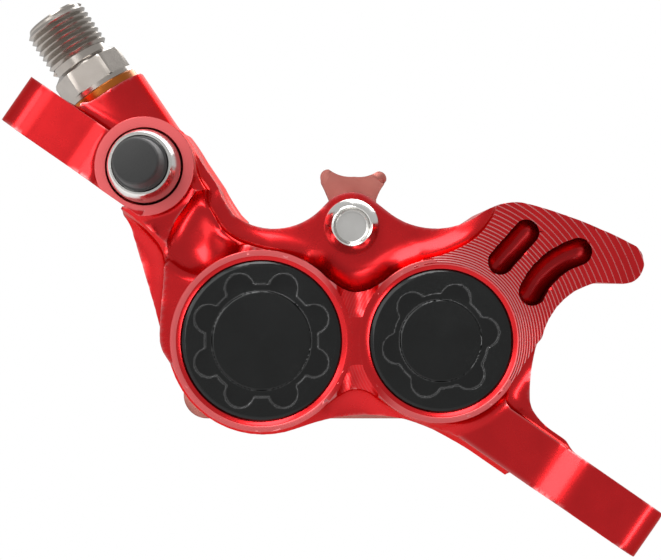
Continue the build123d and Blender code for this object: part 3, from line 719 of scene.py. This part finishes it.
def metal(name, dark, light, roughness, grain=11.0, bump=0.012, coat=0.0, rings=None, anisotropy=0.0, edge=None,
          line=None, land=None, rim=(1.0, 1.0, 1.0)):
    """A metal with grain and faint blotches.

    rings are the centre, pitch and depth of the cutter's marks, and line is the colour and share of a highlight
    painted along them. edge is the colour and share of a highlight painted along the edges, which on the black
    caps stands for some wear too, and land the colour and roughness of the turned faces, whose paler colour is a
    painted highlight.
    """
    material, nodes, shader = start_material(name)
    point = bore_view_point(nodes)
    wear = nodes.group("metal_grain", Vector=point, Grain=grain, Roughness=roughness)
    tint = nodes.mix(wear.outputs["Blotch"], (*dark, 1), (*light, 1))
    shader.inputs["Metallic"].default_value = 1.0
    shader.inputs["Coat Weight"].default_value = coat
    shader.inputs["Coat Roughness"].default_value = 0.12
    shader.inputs["Specular Tint"].default_value = (*rim, 1)
    shader.inputs["Anisotropic"].default_value = anisotropy
    height = nodes.math("MULTIPLY", wear.outputs["Height"], bump)
    if rings:
        centre, pitch, depth = rings
        group = nodes.group("cutter_rings", Vector=point, Centre=(centre, 0, 0), Pitch=pitch)
        height = nodes.math("ADD", height, nodes.math("MULTIPLY", group.outputs["Height"], depth))
        # A painted highlight along each ring's step.
        if line:
            share = nodes.math("MULTIPLY", group.outputs["Line"], line[1])
            tint = nodes.mix(share, tint, (*line[0], 1))
    gloss = wear.outputs["Roughness"]
    # The turned faces get a paler colour, a painted highlight, and a roughness of their own.
    if land:
        mask = 0.0
        across = nodes.add("ShaderNodeSeparateXYZ", {0: point}).outputs["X"]
        waist = nodes.math("ABSOLUTE", nodes.math("SUBTRACT", across, WAIST_X))
        clear = nodes.add("ShaderNodeMapRange", {0: waist, 1: WAIST_HALF, 2: WAIST_EDGE, 3: 0.0, 4: 1.0},
                          interpolation_type="SMOOTHSTEP").outputs[0]
        for x, y, radius, level in LANDS:
            group = nodes.group("turned_land", Vector=point, Centre=(x, 0, y), Radius=radius, Height=level)
            mask = nodes.math("MAXIMUM", group.outputs["Mask"], mask)
        mask = nodes.math("MULTIPLY", mask, clear)
        tint = nodes.mix(mask, tint, (*land[0], 1))
        gloss = nodes.add("ShaderNodeMix", {0: mask, 2: gloss, 3: land[1]}).outputs[0]
    # A paler tint along the creases: a painted highlight along the edges.
    if edge:
        edge_glint_and_wear = nodes.add("ShaderNodeAttribute", attribute_name="crease", attribute_type="GEOMETRY").outputs["Fac"]
        share = nodes.math("MULTIPLY", nodes.math("POWER", edge_glint_and_wear, 3.0), edge[1])
        tint = nodes.mix(share, tint, (*edge[0], 1))
    nodes.tree.links.new(tint, shader.inputs["Base Color"])
    nodes.tree.links.new(gloss, shader.inputs["Roughness"])
    if anisotropy:
        turned = nodes.add("ShaderNodeTangent", direction_type="RADIAL", axis="Y")
        nodes.tree.links.new(turned.outputs[0], shader.inputs["Tangent"])
    bumped = nodes.add("ShaderNodeBump", {"Height": height, "Strength": 1.0, "Distance": 0.0001})
    nodes.tree.links.new(bumped.outputs[0], shader.inputs["Normal"])
    return material


def plain(name, dark, light, roughness, grain=12.0, bump=0.3, specular=0.5):
    """A matt material, such as rubber or friction compound."""
    material, nodes, shader = start_material(name)
    shader.inputs["Specular IOR Level"].default_value = specular
    point = bore_view_point(nodes)
    wear = nodes.group("metal_grain", Vector=point, Grain=grain, Roughness=roughness)
    colour = nodes.mix(wear.outputs["Height"], (*dark, 1), (*light, 1))
    nodes.tree.links.new(colour, shader.inputs["Base Color"])
    nodes.tree.links.new(wear.outputs["Roughness"], shader.inputs["Roughness"])
    bumped = nodes.add("ShaderNodeBump", {"Height": nodes.math("MULTIPLY", wear.outputs["Height"], bump),
                                          "Strength": 1.0, "Distance": 0.0001})
    nodes.tree.links.new(bumped.outputs[0], shader.inputs["Normal"])
    return material


def material(name):
    """A finish by name, made the first time it is asked for."""
    if name in bpy.data.materials:
        return bpy.data.materials[name]
    if "metal_grain" not in bpy.data.node_groups:
        wear_group()
        ring_group()
        land_group()
    colours = bpy.context.scene.caliper_finish
    red = tuple(colours.red)
    deep = tuple(v * 0.78 for v in red)
    # Painted highlights: first the paler red put along edges, terrace risers and ripple lines, then the paler red
    # of the turned faces.
    highlight_tint, land_highlight = tuple(v + (1 - v) * 0.30 for v in red), tuple(v + (1 - v) * 0.10 for v in red)
    glow = (0.9, 0.30, 0.28)
    black = ((0.0045, 0.0048, 0.0047), (0.009, 0.0097, 0.0095))
    # Painted shade: the red inside the slots is darkened.
    slot_shade_dark, slot_shade_light = tuple(v * 0.40 for v in red), tuple(v * 0.6 for v in red)
    anodised = {"coat": 0.15, "rim": glow}
    # Grey along the caps' edges: a painted highlight, with some wear.
    turned = {"coat": 0.5, "anisotropy": 0.75, "edge": ((0.3,) * 3, 0.4)}
    makers = {
        # The body's red, with a painted highlight along its edges and on its turned faces.
        "red_anodised": lambda: metal(name, deep, red, 0.27, bump=0.005, edge=(highlight_tint, 0.4), land=(land_highlight, 0.40),
                                      **anodised),
        "red_terraced": lambda: metal(name, deep, red, 0.27, bump=0.005, **anodised),
        # The risers' paler red is a painted highlight on the terrace steps.
        "terrace_riser_glint": lambda: metal(name, highlight_tint, highlight_tint, 0.35, bump=0.005, **anodised),
        # Ripple lines in the pocket, with a faint painted highlight along them.
        "red_rippled": lambda: metal(name, deep, red, 0.3, bump=0.005, line=(highlight_tint, 0.05),
                                     rings=(SMALL_X, 0.31, 0.12), **anodised),
        # The slots' darker red is painted shade.
        "red_slot_painted_shade": lambda: metal(name, slot_shade_dark, slot_shade_light, 0.33, bump=0.008, **anodised),
        "black_large": lambda: metal(name, *black, 0.25, rings=(LARGE_X, 0.16, 0.05), **turned),
        "black_small": lambda: metal(name, *black, 0.25, rings=(SMALL_X, 0.16, 0.05), **turned),
        "bright_steel": lambda: metal(name, (0.50, 0.49, 0.47), (0.66, 0.65, 0.63), 0.18),
        "satin_steel": lambda: metal(name, (0.26, 0.235, 0.21), (0.38, 0.35, 0.32), 0.24, bump=0.03),
        "washer_copper": lambda: metal(name, (0.26, 0.07, 0.012), (0.42, 0.13, 0.025), 0.3, bump=0.06),
        "plated_plate": lambda: metal(name, (0.30, 0.10, 0.085), (0.44, 0.17, 0.14), 0.5, bump=0.15),
        "brake_compound": lambda: plain(name, (0.05, 0.04, 0.035), (0.16, 0.12, 0.09), 0.9, grain=5.0,
                                        bump=0.8),
        "soft_rubber": lambda: plain(name, (0.016,) * 3, (0.028,) * 3, 0.6, grain=9.0, bump=0.12,
                                     specular=0.25),
        "seal_rubber": lambda: plain(name, (0.012,) * 3, (0.02,) * 3, 0.5),
    }
    return makers[name]()


class CaliperBodySizes(bpy.types.PropertyGroup):
    cell: bpy.props.FloatProperty(
        name="Cell", description="Mesh cell of the body, in millimetres", default=0.42, min=0.2, max=2.0)
    cove_radius: bpy.props.FloatProperty(
        name="Cove radius", description="Radius at the foot of the raised face, in millimetres",
        default=2.9, min=0.5, max=4.0)


class CaliperFinish(bpy.types.PropertyGroup):
    red: bpy.props.FloatVectorProperty(
        name="Anodised red", description="Colour of the body", subtype="COLOR",
        default=(0.55, 0.014, 0.017), min=0.0, max=1.0)
    thread_pitch: bpy.props.FloatProperty(
        name="Thread pitch", description="Pitch of the hose thread, in millimetres",
        default=0.75, min=0.4, max=1.5)


RISER_WIDTH = 0.13
# Material slots of the body; the last holds the painted shade inside the slots.
TERRACED, RISER, RIPPLED, SLOT_SHADE = 1, 2, 3, 4


def mill_terraces(mesh):
    """Cuts the tail's top along rings round the small bore and steps it there.

    Dicts keep the faces, edges and vertices in the mesh's order, so each run lists them alike.
    """
    work = bmesh.new()
    work.from_mesh(mesh)
    tops = {face: None for face in work.faces if face.material_index == TERRACED}
    count = {}
    for vert in dict.fromkeys(vert for face in tops for vert in face.verts):
        a, b = vert.co.x / MM - BORES_ALONG, vert.co.z / MM - BORES_UP
        count[vert] = float(terraces(math.hypot(a * COS + b * SIN - SMALL_X, b * COS - a * SIN)))
    for ring in range(1, math.ceil(max(count.values()))):
        pitch = TERRACE_PITCH * math.exp(TERRACE_GROWTH * ring)
        for level in (ring - RISER_WIDTH / pitch, ring):
            split_at(tops, count, level)
    for vert, value in count.items():
        ring = round(value)
        riser = RISER_WIDTH / (TERRACE_PITCH * math.exp(TERRACE_GROWTH * ring))
        step = ring + min(0.0, max(-1.0, (value - ring) / riser)) if value <= ring else ring
        vert.co.y = (DISC_Y - TAIL_TOP + TERRACE_DROP * (step - 0.5)) * MM
    # Riser faces take the material with the painted highlight of the terrace steps.
    for face in tops:
        values = [count[vert] for vert in face.verts]
        ring = round(max(values))
        riser = RISER_WIDTH / (TERRACE_PITCH * math.exp(TERRACE_GROWTH * ring))
        if min(values) > ring - riser - 0.02 and max(values) < ring + 0.02:
            face.material_index = RISER
    work.to_mesh(mesh)
    work.free()
    mesh.update()


def split_at(faces, count, level):
    """Cuts these faces where their vertices' counts pass a level."""
    touched = [face for face in faces
               if min(count[v] for v in face.verts) < level < max(count[v] for v in face.verts)]
    on_level = set()
    for edge in dict.fromkeys(edge for face in touched for edge in face.edges):
        a, b = edge.verts
        if (count[a] - level) * (count[b] - level) < -1e-9:
            _, made = bmesh.utils.edge_split(edge, a, (level - count[a]) / (count[b] - count[a]))
            count[made] = level
            on_level.add(made)
        else:
            on_level.update(v for v in (a, b) if abs(count[v] - level) < 1e-6)
    for face in touched:
        ends = [v for v in face.verts if v in on_level]
        if len(ends) != 2:
            continue
        joined = any(edge in ends[1].link_edges for edge in ends[0].link_edges if edge in face.edges)
        if not joined:
            made, _ = bmesh.utils.face_split(face, *ends)
            if made:
                faces[made] = None


class CALIPER_OT_body(bpy.types.Operator):
    """Makes the milled body from its distance field"""

    bl_idname = "caliper.body"
    bl_label = "Body"

    def execute(self, context):
        sizes = context.scene.caliper_body
        cell = sizes.cell * 1.0
        field = BodyField(sizes)
        verts, quads, crease = contour(field, (-45.9, -15.9, -20.1), (45.9, 31.1, 21.1), cell, in_bore_view)
        placed = np.stack([verts[:, 0], DISC_Y - verts[:, 2], verts[:, 1]], axis=1)
        mesh = contoured_mesh("milled_body", placed, quads, crease)
        for finish in ("red_anodised", "red_terraced", "terrace_riser_glint", "red_rippled", "red_slot_painted_shade"):
            mesh.materials.append(material(finish))
        x, y, h = in_bore_view(verts)
        reach = np.hypot(x - SMALL_X, y)
        at_top = np.abs(h - field.tail_top(reach)) < 0.1
        on_top = at_top & (field.tail(x, y) < 0.1) & (reach > SMALL_RING - 0.2)
        on_tail = on_top[quads].all(axis=1)
        middle = verts[quads].mean(axis=1)
        x, y, h = in_bore_view(middle)
        index = np.where(on_tail, TERRACED, 0)
        for track in SCOOPS:
            scoop = capsule_field(x, y, h, *track, SCOOP_RADIUS)
            index = np.where((np.abs(scoop) < 0.04) & (np.abs(h - FACE) > 0.03), RIPPLED, index)
        # Faces in the slots take the darkened red: painted shade in the slots.
        index = np.where((np.abs(slots_field(x, y, h)) < 0.25) & ~on_tail, SLOT_SHADE, index)
        mesh.polygons.foreach_set("material_index", index.astype(np.int32))
        smooth_mesh(mesh, 30)
        mill_terraces(mesh)
        mesh.set_sharp_from_angle(angle=math.radians(30))
        dress(link(mesh, "milled_body"), "caliper", material("red_anodised"), "caliper_body")
        return {"FINISHED"}


CAP_TOP, KNOB_TOP, SOCKET_FLOOR, RIM_FLOOR = 19.65, 19.4, 18.15, 18.75
RIM_WIDTH = 0.55


def cap_field(radius, lobes, turn, centre, lobe, reach, mouth):
    """A cap with a lobed tool socket round its turned centre."""

    def field(x, y, h):
        near = np.hypot(x, y)
        solid = np.maximum(np.maximum(near - radius, h - CAP_TOP), CAP_SEAT_FLOOR - h)
        solid = np.maximum(solid, (near - radius + 0.5) * 0.37 + (h - CAP_TOP) * 0.93)
        sector = 2 * math.pi / lobes
        angle = (np.arctan2(y, x) - turn + sector / 2) % sector - sector / 2
        scallop = np.hypot(near * np.cos(angle) - reach, near * np.sin(angle)) - lobe
        socket = join(scallop, near - mouth, 0.2)
        step = np.maximum(near - centre - RIM_WIDTH, RIM_FLOOR - h)
        floor = np.minimum(np.maximum(socket, SOCKET_FLOOR - h), step)
        knob = meet(near - centre, h - KNOB_TOP, 0.25)
        return np.minimum(cut(solid, floor), np.maximum(knob, CAP_SEAT_FLOOR - h))

    return field


class CALIPER_OT_caps(bpy.types.Operator):
    """Finishes the two bore caps"""

    bl_idname = "caliper.caps"
    bl_label = "Bore caps"

    def execute(self, context):
        cell = 0.16 * 1.0
        for size, x, radius, lobes, turn, shares in (
            ("large", LARGE_X, 9.12, 8, 22.5, (5.65, 1.65, 6.45, 6.4)),
            ("small", SMALL_X, 8.12, 6, 10.5, (4.66, 1.72, 4.95, 5.35)),
        ):
            field = cap_field(radius, lobes, math.radians(turn), *shares)
            side = radius + 0.3
            verts, quads, crease = contour(field, (-side, -side, 15.7), (side, side, 19.9), cell)
            placed = np.array(to_row(x + verts[:, 0], verts[:, 1], verts[:, 2])).T / MM
            name = f"turned_{size}_cap"
            mesh = contoured_mesh(name, placed, quads, crease)
            smooth_mesh(mesh, 25)
            dress(link(mesh, name), "caliper", material("black_" + size),
                  size + "_bore_cap")
        return {"FINISHED"}


SEAT_FOOT, LAND_FOOT, SEAT_LIP = 16.2, 19.4, 0.09


class CALIPER_OT_seats(bpy.types.Operator):
    """Turns the bevelled seats round the caps and the bleed nipple"""

    bl_idname = "caliper.seats"
    bl_label = "Turned seats"

    def execute(self, context):
        proud = FACE + 0.01
        for name, x, seat, ring, land, shape in (
            ("large_cap_seat", LARGE_X, 9.15, LARGE_RING, LARGE_PLATEAU, None),
            ("small_cap_seat", SMALL_X, 8.15, SMALL_RING, SMALL_PLATEAU, clear_of_tail),
        ):
            lip = ring + SEAT_LIP
            rows = [(seat, SEAT_FOOT), (seat, FACE - 0.28), (seat + 0.05, FACE - 0.24), (ring - 0.06, FACE),
                    (ring, proud), (land - 0.06, proud), (land, FACE - 0.05), (land, LAND_FOOT), (lip, 19.2),
                    (lip, SEAT_FOOT), (seat, SEAT_FOOT)]
            dress(link(lathe(rows, name, upright(x, 0), 240, shape), name), "caliper", material("red_anodised"),
                  "caliper_body")
        rows = [(4.4, 14.0), (4.4, 18.42), (4.46, 18.5), (4.7, 18.52), (5.58, 18.52), (5.64, 18.46),
                (5.64, 17.6), (5.1, 17.4), (5.1, 14.0), (4.4, 14.0)]
        dress(link(lathe(rows, "bleed_seat", upright(*BLEED), 200, above_posts), "bleed_seat"), "caliper",
              material("red_anodised"), "caliper_body")
        return {"FINISHED"}


def clear_of_tail(radius, height, t):
    """Keeps the small seat's flat face off the terraces."""
    turn = (math.degrees(t) + 180) % 360 - 180
    beside = max(TAIL_SECTOR[0] - turn, turn - TAIL_SECTOR[1]) / 3
    lip = SMALL_RING + SEAT_LIP
    return radius if radius < lip else lip + (radius - SMALL_RING - SEAT_LIP) * min(1.0, max(0.0, beside))


def above_posts(radius, height, t):
    """Trims the bleed seat at the plane of the posts."""
    down = -(SIN * math.cos(t) + COS * math.sin(t))
    above = BORES_UP + BLEED[0] * SIN + BLEED[1] * COS - 0.01
    return min(radius, above / down) if down > 0.2 else radius


class CALIPER_OT_bleed(bpy.types.Operator):
    """Makes the bleed nipple and its rubber cap"""

    bl_idname = "caliper.bleed"
    bl_label = "Bleed nipple and cap"

    def execute(self, context):
        place = upright(*BLEED)
        rows = [(0.8, 10.5), (2.5, 10.5), (2.5, 13.5), (4.1, 13.5), (4.28, 13.7), (4.28, 18.4), (4.22, 18.6),
                (3.58, 23.8), (3.52, 23.98), (3.42, 24.1), (3.2, 24.1), (3.13, 24.0), (3.13, 22.82),
                (1.7, 22.82), (1.7, 28.6), (1.6, 28.7), (0.8, 28.7), (0.8, 10.5)]
        dress(link(lathe(rows, "steel_nipple", place), "steel_nipple"), "bleed_nipple",
              material("bright_steel"), "bleed_nipple")
        rows = [(0.0, 28.78), (1.78, 28.78), (1.78, 22.9), (3.0, 22.9), (3.05, 23.0), (3.05, 24.3),
                (3.0, 24.55), (2.82, 24.8), (2.6, 29.2), (2.52, 29.7), (2.35, 29.98), (2.1, 30.08), (0.0, 30.1)]
        dress(link(lathe(rows, "dust_cap", place), "dust_cap"), "bleed_nipple_cap",
              material("soft_rubber"), "bleed_nipple_cap")
        return {"FINISHED"}


class CALIPER_OT_pin(bpy.types.Operator):
    """Makes the pad pin with its round recess"""

    bl_idname = "caliper.pin"
    bl_label = "Pad pin"

    def execute(self, context):
        place = upright(*PIN)
        rows = [(0.0, -14.9), (1.65, -14.9), (2.0, -14.55), (2.0, 12.6), (3.2, 12.6), (3.25, 12.65),
                (3.25, 13.0), (3.16, 14.5), (3.06, 14.85), (2.4, 16.05), (2.3, 16.15), (2.2, 16.18),
                (2.1, 16.13), (1.95, 15.8), (1.8, 15.3), (1.68, 15.28), (1.68, 14.0), (0.0, 14.0)]
        dress(link(lathe(rows, "socket_pin", place), "socket_pin"), "caliper", material("bright_steel"),
              "pad_pin")
        polished_copy("pad_pin_clip", material("bright_steel"), "pin_snap_ring")
        return {"FINISHED"}


def thread_tree():
    """A screw thread: a ridge swept along a spiral, in metres round z."""
    tree = bpy.data.node_groups.new("hose_thread", "GeometryNodeTree")
    face = tree.interface
    face.new_socket("Geometry", in_out="INPUT", socket_type="NodeSocketGeometry")
    for label, default in (("Turns", 8.0), ("Radius", 0.0036), ("Height", 0.006), ("Ridge", 0.0004)):
        face.new_socket(label, in_out="INPUT", socket_type="NodeSocketFloat").default_value = default
    face.new_socket("Material", in_out="INPUT", socket_type="NodeSocketMaterial")
    face.new_socket("Geometry", in_out="OUTPUT", socket_type="NodeSocketGeometry")
    nodes = Nodes(tree)
    given, out = nodes.add("NodeGroupInput"), nodes.add("NodeGroupOutput")
    radius = given.outputs["Radius"]
    spiral = nodes.add("GeometryNodeCurveSpiral", {
        "Resolution": 72, "Rotations": given.outputs["Turns"], "Start Radius": radius, "End Radius": radius,
        "Height": given.outputs["Height"]})
    aimed = nodes.add("GeometryNodeSetCurveNormal", {"Curve": spiral.outputs[0]}, mode="Z_UP")
    profile = nodes.add("GeometryNodeCurvePrimitiveCircle", {"Resolution": 4, "Radius": given.outputs["Ridge"]})
    swept = nodes.add("GeometryNodeCurveToMesh", {
        "Curve": aimed.outputs[0], "Profile Curve": profile.outputs[0], "Fill Caps": True})
    real = nodes.add("GeometryNodeRealizeInstances", {"Geometry": swept.outputs[0]})
    painted = nodes.add("GeometryNodeSetMaterial", {
        "Geometry": real.outputs[0], "Material": given.outputs["Material"]})
    tree.links.new(painted.outputs[0], out.inputs[0])
    return tree


HEXAGON_FLATS, HEXAGON_LOW, HEXAGON_HIGH = 8.0, 1.74, 5.02


class CALIPER_OT_hose_end(bpy.types.Operator):
    """Makes the hose connector with its thread, and the copper washer"""

    bl_idname = "caliper.hose_end"
    bl_label = "Hose connector"

    def execute(self, context):
        corner = HEXAGON_FLATS / math.sqrt(3)
        rows = [(1.1, -5.95), (2.85, -5.95), (2.95, -5.85), (2.95, 1.05), (4.5, 1.05), (4.55, 1.1), (4.55, 1.65),
                (4.45, 1.75), (corner, 1.75), (corner, 4.2), (4.4, 4.55), (3.7, 5.0), (3.6, 5.05), (3.5, 5.1),
                (3.5, 11.6), (3.35, 11.85), (2.6, 11.85), (1.1, 9.85), (1.1, -5.95)]
        mesh = lathe(rows, "threaded_connector", on_hose, 144, hexagon)
        add_thread(mesh, context.scene.caliper_finish.thread_pitch)
        dress(link(mesh, "threaded_connector"), "caliper", material("satin_steel"),
              "hose_connector")
        rows = [(3.1, 0.02), (4.65, 0.02), (4.74, 0.1), (4.75, 0.5), (4.74, 0.95), (4.65, 1.03), (3.1, 1.03),
                (3.1, 0.02)]
        dress(link(lathe(rows, "copper_washer", on_hose), "copper_washer"), "caliper",
              material("washer_copper"), "connector_washer")
        return {"FINISHED"}


THREAD_LOW, THREAD_LENGTH, THREAD_RADIUS = 5.85, 5.6, 3.965


def add_thread(mesh, pitch):
    """Sweeps the hose thread round the connector and adds it to its mesh."""
    carrier = link(bpy.data.meshes.new("thread_carrier"), "thread_carrier")
    modifier = carrier.modifiers.new("hose_thread", "NODES")
    modifier.node_group = thread_tree()
    ridge = pitch / 2
    sizes = {"Turns": THREAD_LENGTH / pitch, "Radius": (THREAD_RADIUS - ridge) * MM,
             "Height": THREAD_LENGTH * MM, "Ridge": ridge * MM, "Material": material("satin_steel")}
    for item in modifier.node_group.interface.items_tree:
        if item.in_out == "INPUT" and item.name in sizes:
            modifier[item.identifier] = sizes[item.name]
    ready = carrier.evaluated_get(bpy.context.evaluated_depsgraph_get())
    swept = bpy.data.meshes.new_from_object(ready)
    bpy.data.objects.remove(carrier)
    for vert in swept.vertices:
        x, y, z = vert.co / MM
        vert.co = on_hose(x, y, z + THREAD_LOW)
    work = bmesh.new()
    work.from_mesh(swept)
    bmesh.ops.remove_doubles(work, verts=work.verts, dist=1e-7)
    bmesh.ops.recalc_face_normals(work, faces=work.faces)
    work.from_mesh(mesh)
    work.to_mesh(mesh)
    work.free()
    smooth_mesh(mesh)


class CALIPER_OT_inner(bpy.types.Operator):
    """Finishes the pistons, seals, pads and spring"""

    bl_idname = "caliper.inner"
    bl_label = "Pistons, seals and pads"

    def execute(self, context):
        finishes = {"piston": "bright_steel", "seal": "seal_rubber", "plate": "plated_plate",
                    "friction": "brake_compound", "polished_steel": "bright_steel"}
        done = {"pad_pin", "pad_pin_clip", "bleed_nipple", "hose_connector"}
        for node in frame["nodes"]:
            finish = finishes.get(slot_of(node))
            if finish and node not in done:
                piece = polished_copy(node, material(finish), "fitted_" + node)
                if node == "pad_spring":
                    close_spring(piece)
        return {"FINISHED"}


def close_spring(piece):
    """Gives the spring's piece its own copy of its mesh."""
    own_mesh(piece)


class CALIPER_OT_stage(bpy.types.Operator):
    """Sets the floor, the lamps, the world and the camera"""

    bl_idname = "caliper.stage"
    bl_label = "Stage"

    def execute(self, context):
        floor_stage()
        lamps()
        white_world(context.scene)
        camera(context.scene)
        context.scene.view_settings.view_transform = "Standard"
        return {"FINISHED"}


FLOOR_HALF, FLOOR_LOW = 0.22, -0.075


def floor_stage():
    """A white floor under the part that turns into light with distance."""
    mesh = bpy.data.meshes.new("floor")
    half, low = FLOOR_HALF, FLOOR_LOW
    mesh.from_pydata([(-half, -half, low), (half, -half, low), (half, half, low), (-half, half, low)], [],
                     [(0, 1, 2, 3)])
    floor = link(mesh, "floor")
    paper = bpy.data.materials.new("floor_paper")
    paper.use_nodes = True
    tree = paper.node_tree
    tree.nodes.clear()
    nodes = Nodes(tree)
    matt = nodes.add("ShaderNodeBsdfDiffuse", {"Color": (0.9, 0.9, 0.9, 1)})
    glow = nodes.add("ShaderNodeEmission", {"Color": (1, 1, 1, 1), "Strength": 1.0})
    where = nodes.add("ShaderNodeTexCoord")
    away = nodes.add("ShaderNodeVectorMath", {0: where.outputs["Object"]}, operation="LENGTH")
    fade = nodes.add("ShaderNodeMapRange", {0: away.outputs["Value"], 1: 0.09, 2: 0.2, 3: 0.25, 4: 1.0},
                     interpolation_type="SMOOTHSTEP")
    mixed = nodes.add("ShaderNodeMixShader", {0: fade.outputs[0], 1: matt.outputs[0], 2: glow.outputs[0]})
    tree.links.new(mixed.outputs[0], nodes.add("ShaderNodeOutputMaterial").inputs[0])
    mesh.materials.append(paper)


def lamp(name, position, size, power, target=(0, 0, 0.006)):
    data = bpy.data.lights.new(name, "AREA")
    data.shape = "RECTANGLE"
    data.size, data.size_y = size
    data.energy = power
    made = bpy.data.objects.new(name, data)
    made.location = position
    made.rotation_euler = (Vector(target) - Vector(position)).to_track_quat("-Z", "Y").to_euler()
    made.visible_camera = False
    bpy.context.scene.collection.objects.link(made)


def seen_from_camera(right, up, near):
    """A place given right, up and towards the camera, with the camera's roll, in metres."""
    return (right * COS - up * SIN, -near, right * SIN + up * COS)


def lamps():
    lamp("top_softbox", seen_from_camera(-0.12, 0.42, 0.2), (0.5, 0.2), 2.6)
    lamp("left_softbox", seen_from_camera(-0.42, 0.1, 0.25), (0.2, 0.4), 1.4)
    lamp("right_strip", seen_from_camera(0.42, -0.12, 0.22), (0.1, 0.4), 1.1)
    lamp("near_softbox", seen_from_camera(-0.19, 0.10, 0.36), (0.22, 0.30), 0.5)
    lamp("back_softbox", seen_from_camera(0.1, 0.3, -0.4), (0.4, 0.3), 1.4)


def white_world(scene):
    world = bpy.data.worlds.new("studio")
    scene.world = world
    world.use_nodes = True
    tree = world.node_tree
    tree.nodes.clear()
    nodes = Nodes(tree)
    where = nodes.add("ShaderNodeTexCoord")
    split = nodes.add("ShaderNodeSeparateXYZ", {0: where.outputs["Generated"]})
    behind = nodes.add("ShaderNodeMapRange", {0: split.outputs["Y"], 1: -0.95, 2: -0.35, 3: 0.72, 4: 0.72})
    around = nodes.add("ShaderNodeBackground", {"Color": (1, 1, 1, 1), "Strength": behind.outputs[0]})
    white = nodes.add("ShaderNodeBackground", {"Color": (1, 1, 1, 1), "Strength": 1.0})
    seen = nodes.add("ShaderNodeLightPath")
    mixed = nodes.add("ShaderNodeMixShader", {0: seen.outputs["Is Camera Ray"], 1: around.outputs[0],
                                              2: white.outputs[0]})
    tree.links.new(mixed.outputs[0], nodes.add("ShaderNodeOutputWorld").inputs[0])


def camera(scene):
    data = bpy.data.cameras.new("photo_camera")
    data.sensor_width = SENSOR_WIDTH
    data.lens = FOCAL_PX / PHOTO_WIDTH_PX * data.sensor_width
    data.clip_start = 0.01
    made = bpy.data.objects.new("photo_camera", data)
    x, _, z = to_row(*CAMERA_AIM, 0)
    made.matrix_world = Matrix(((COS, -SIN, 0, x), (0, 0, -1, (DISC_Y - CAMERA_HEIGHT) * MM),
                                (SIN, COS, 0, z), (0, 0, 0, 1)))
    scene.collection.objects.link(made)
    scene.camera = made


class CALIPER_PT_panel(bpy.types.Panel):
    """Lists the caliper's sizes and makers"""

    bl_idname = "CALIPER_PT_panel"
    bl_label = "Disc brake caliper"
    bl_space_type = "VIEW_3D"
    bl_region_type = "UI"
    bl_category = "Caliper"

    def draw(self, context):
        layout = self.layout
        for group in (context.scene.caliper_body, context.scene.caliper_finish):
            for name in group.__annotations__:
                layout.prop(group, name)
        for operator in OPERATORS:
            layout.operator(operator.bl_idname)


OPERATORS = (CALIPER_OT_stage, CALIPER_OT_body, CALIPER_OT_seats, CALIPER_OT_caps, CALIPER_OT_bleed,
             CALIPER_OT_pin, CALIPER_OT_hose_end, CALIPER_OT_inner)
CLASSES = (CaliperBodySizes, CaliperFinish, *OPERATORS, CALIPER_PT_panel)


def register():
    for cls in CLASSES:
        bpy.utils.register_class(cls)
    bpy.types.Scene.caliper_body = bpy.props.PointerProperty(type=CaliperBodySizes)
    bpy.types.Scene.caliper_finish = bpy.props.PointerProperty(type=CaliperFinish)


def unregister():
    del bpy.types.Scene.caliper_finish
    del bpy.types.Scene.caliper_body
    for cls in reversed(CLASSES):
        bpy.utils.unregister_class(cls)


def main():
    register()
    for operator in OPERATORS:
        group, name = operator.bl_idname.split(".")
        getattr(getattr(bpy.ops, group), name)()


if __name__ == "__main__":
    main()
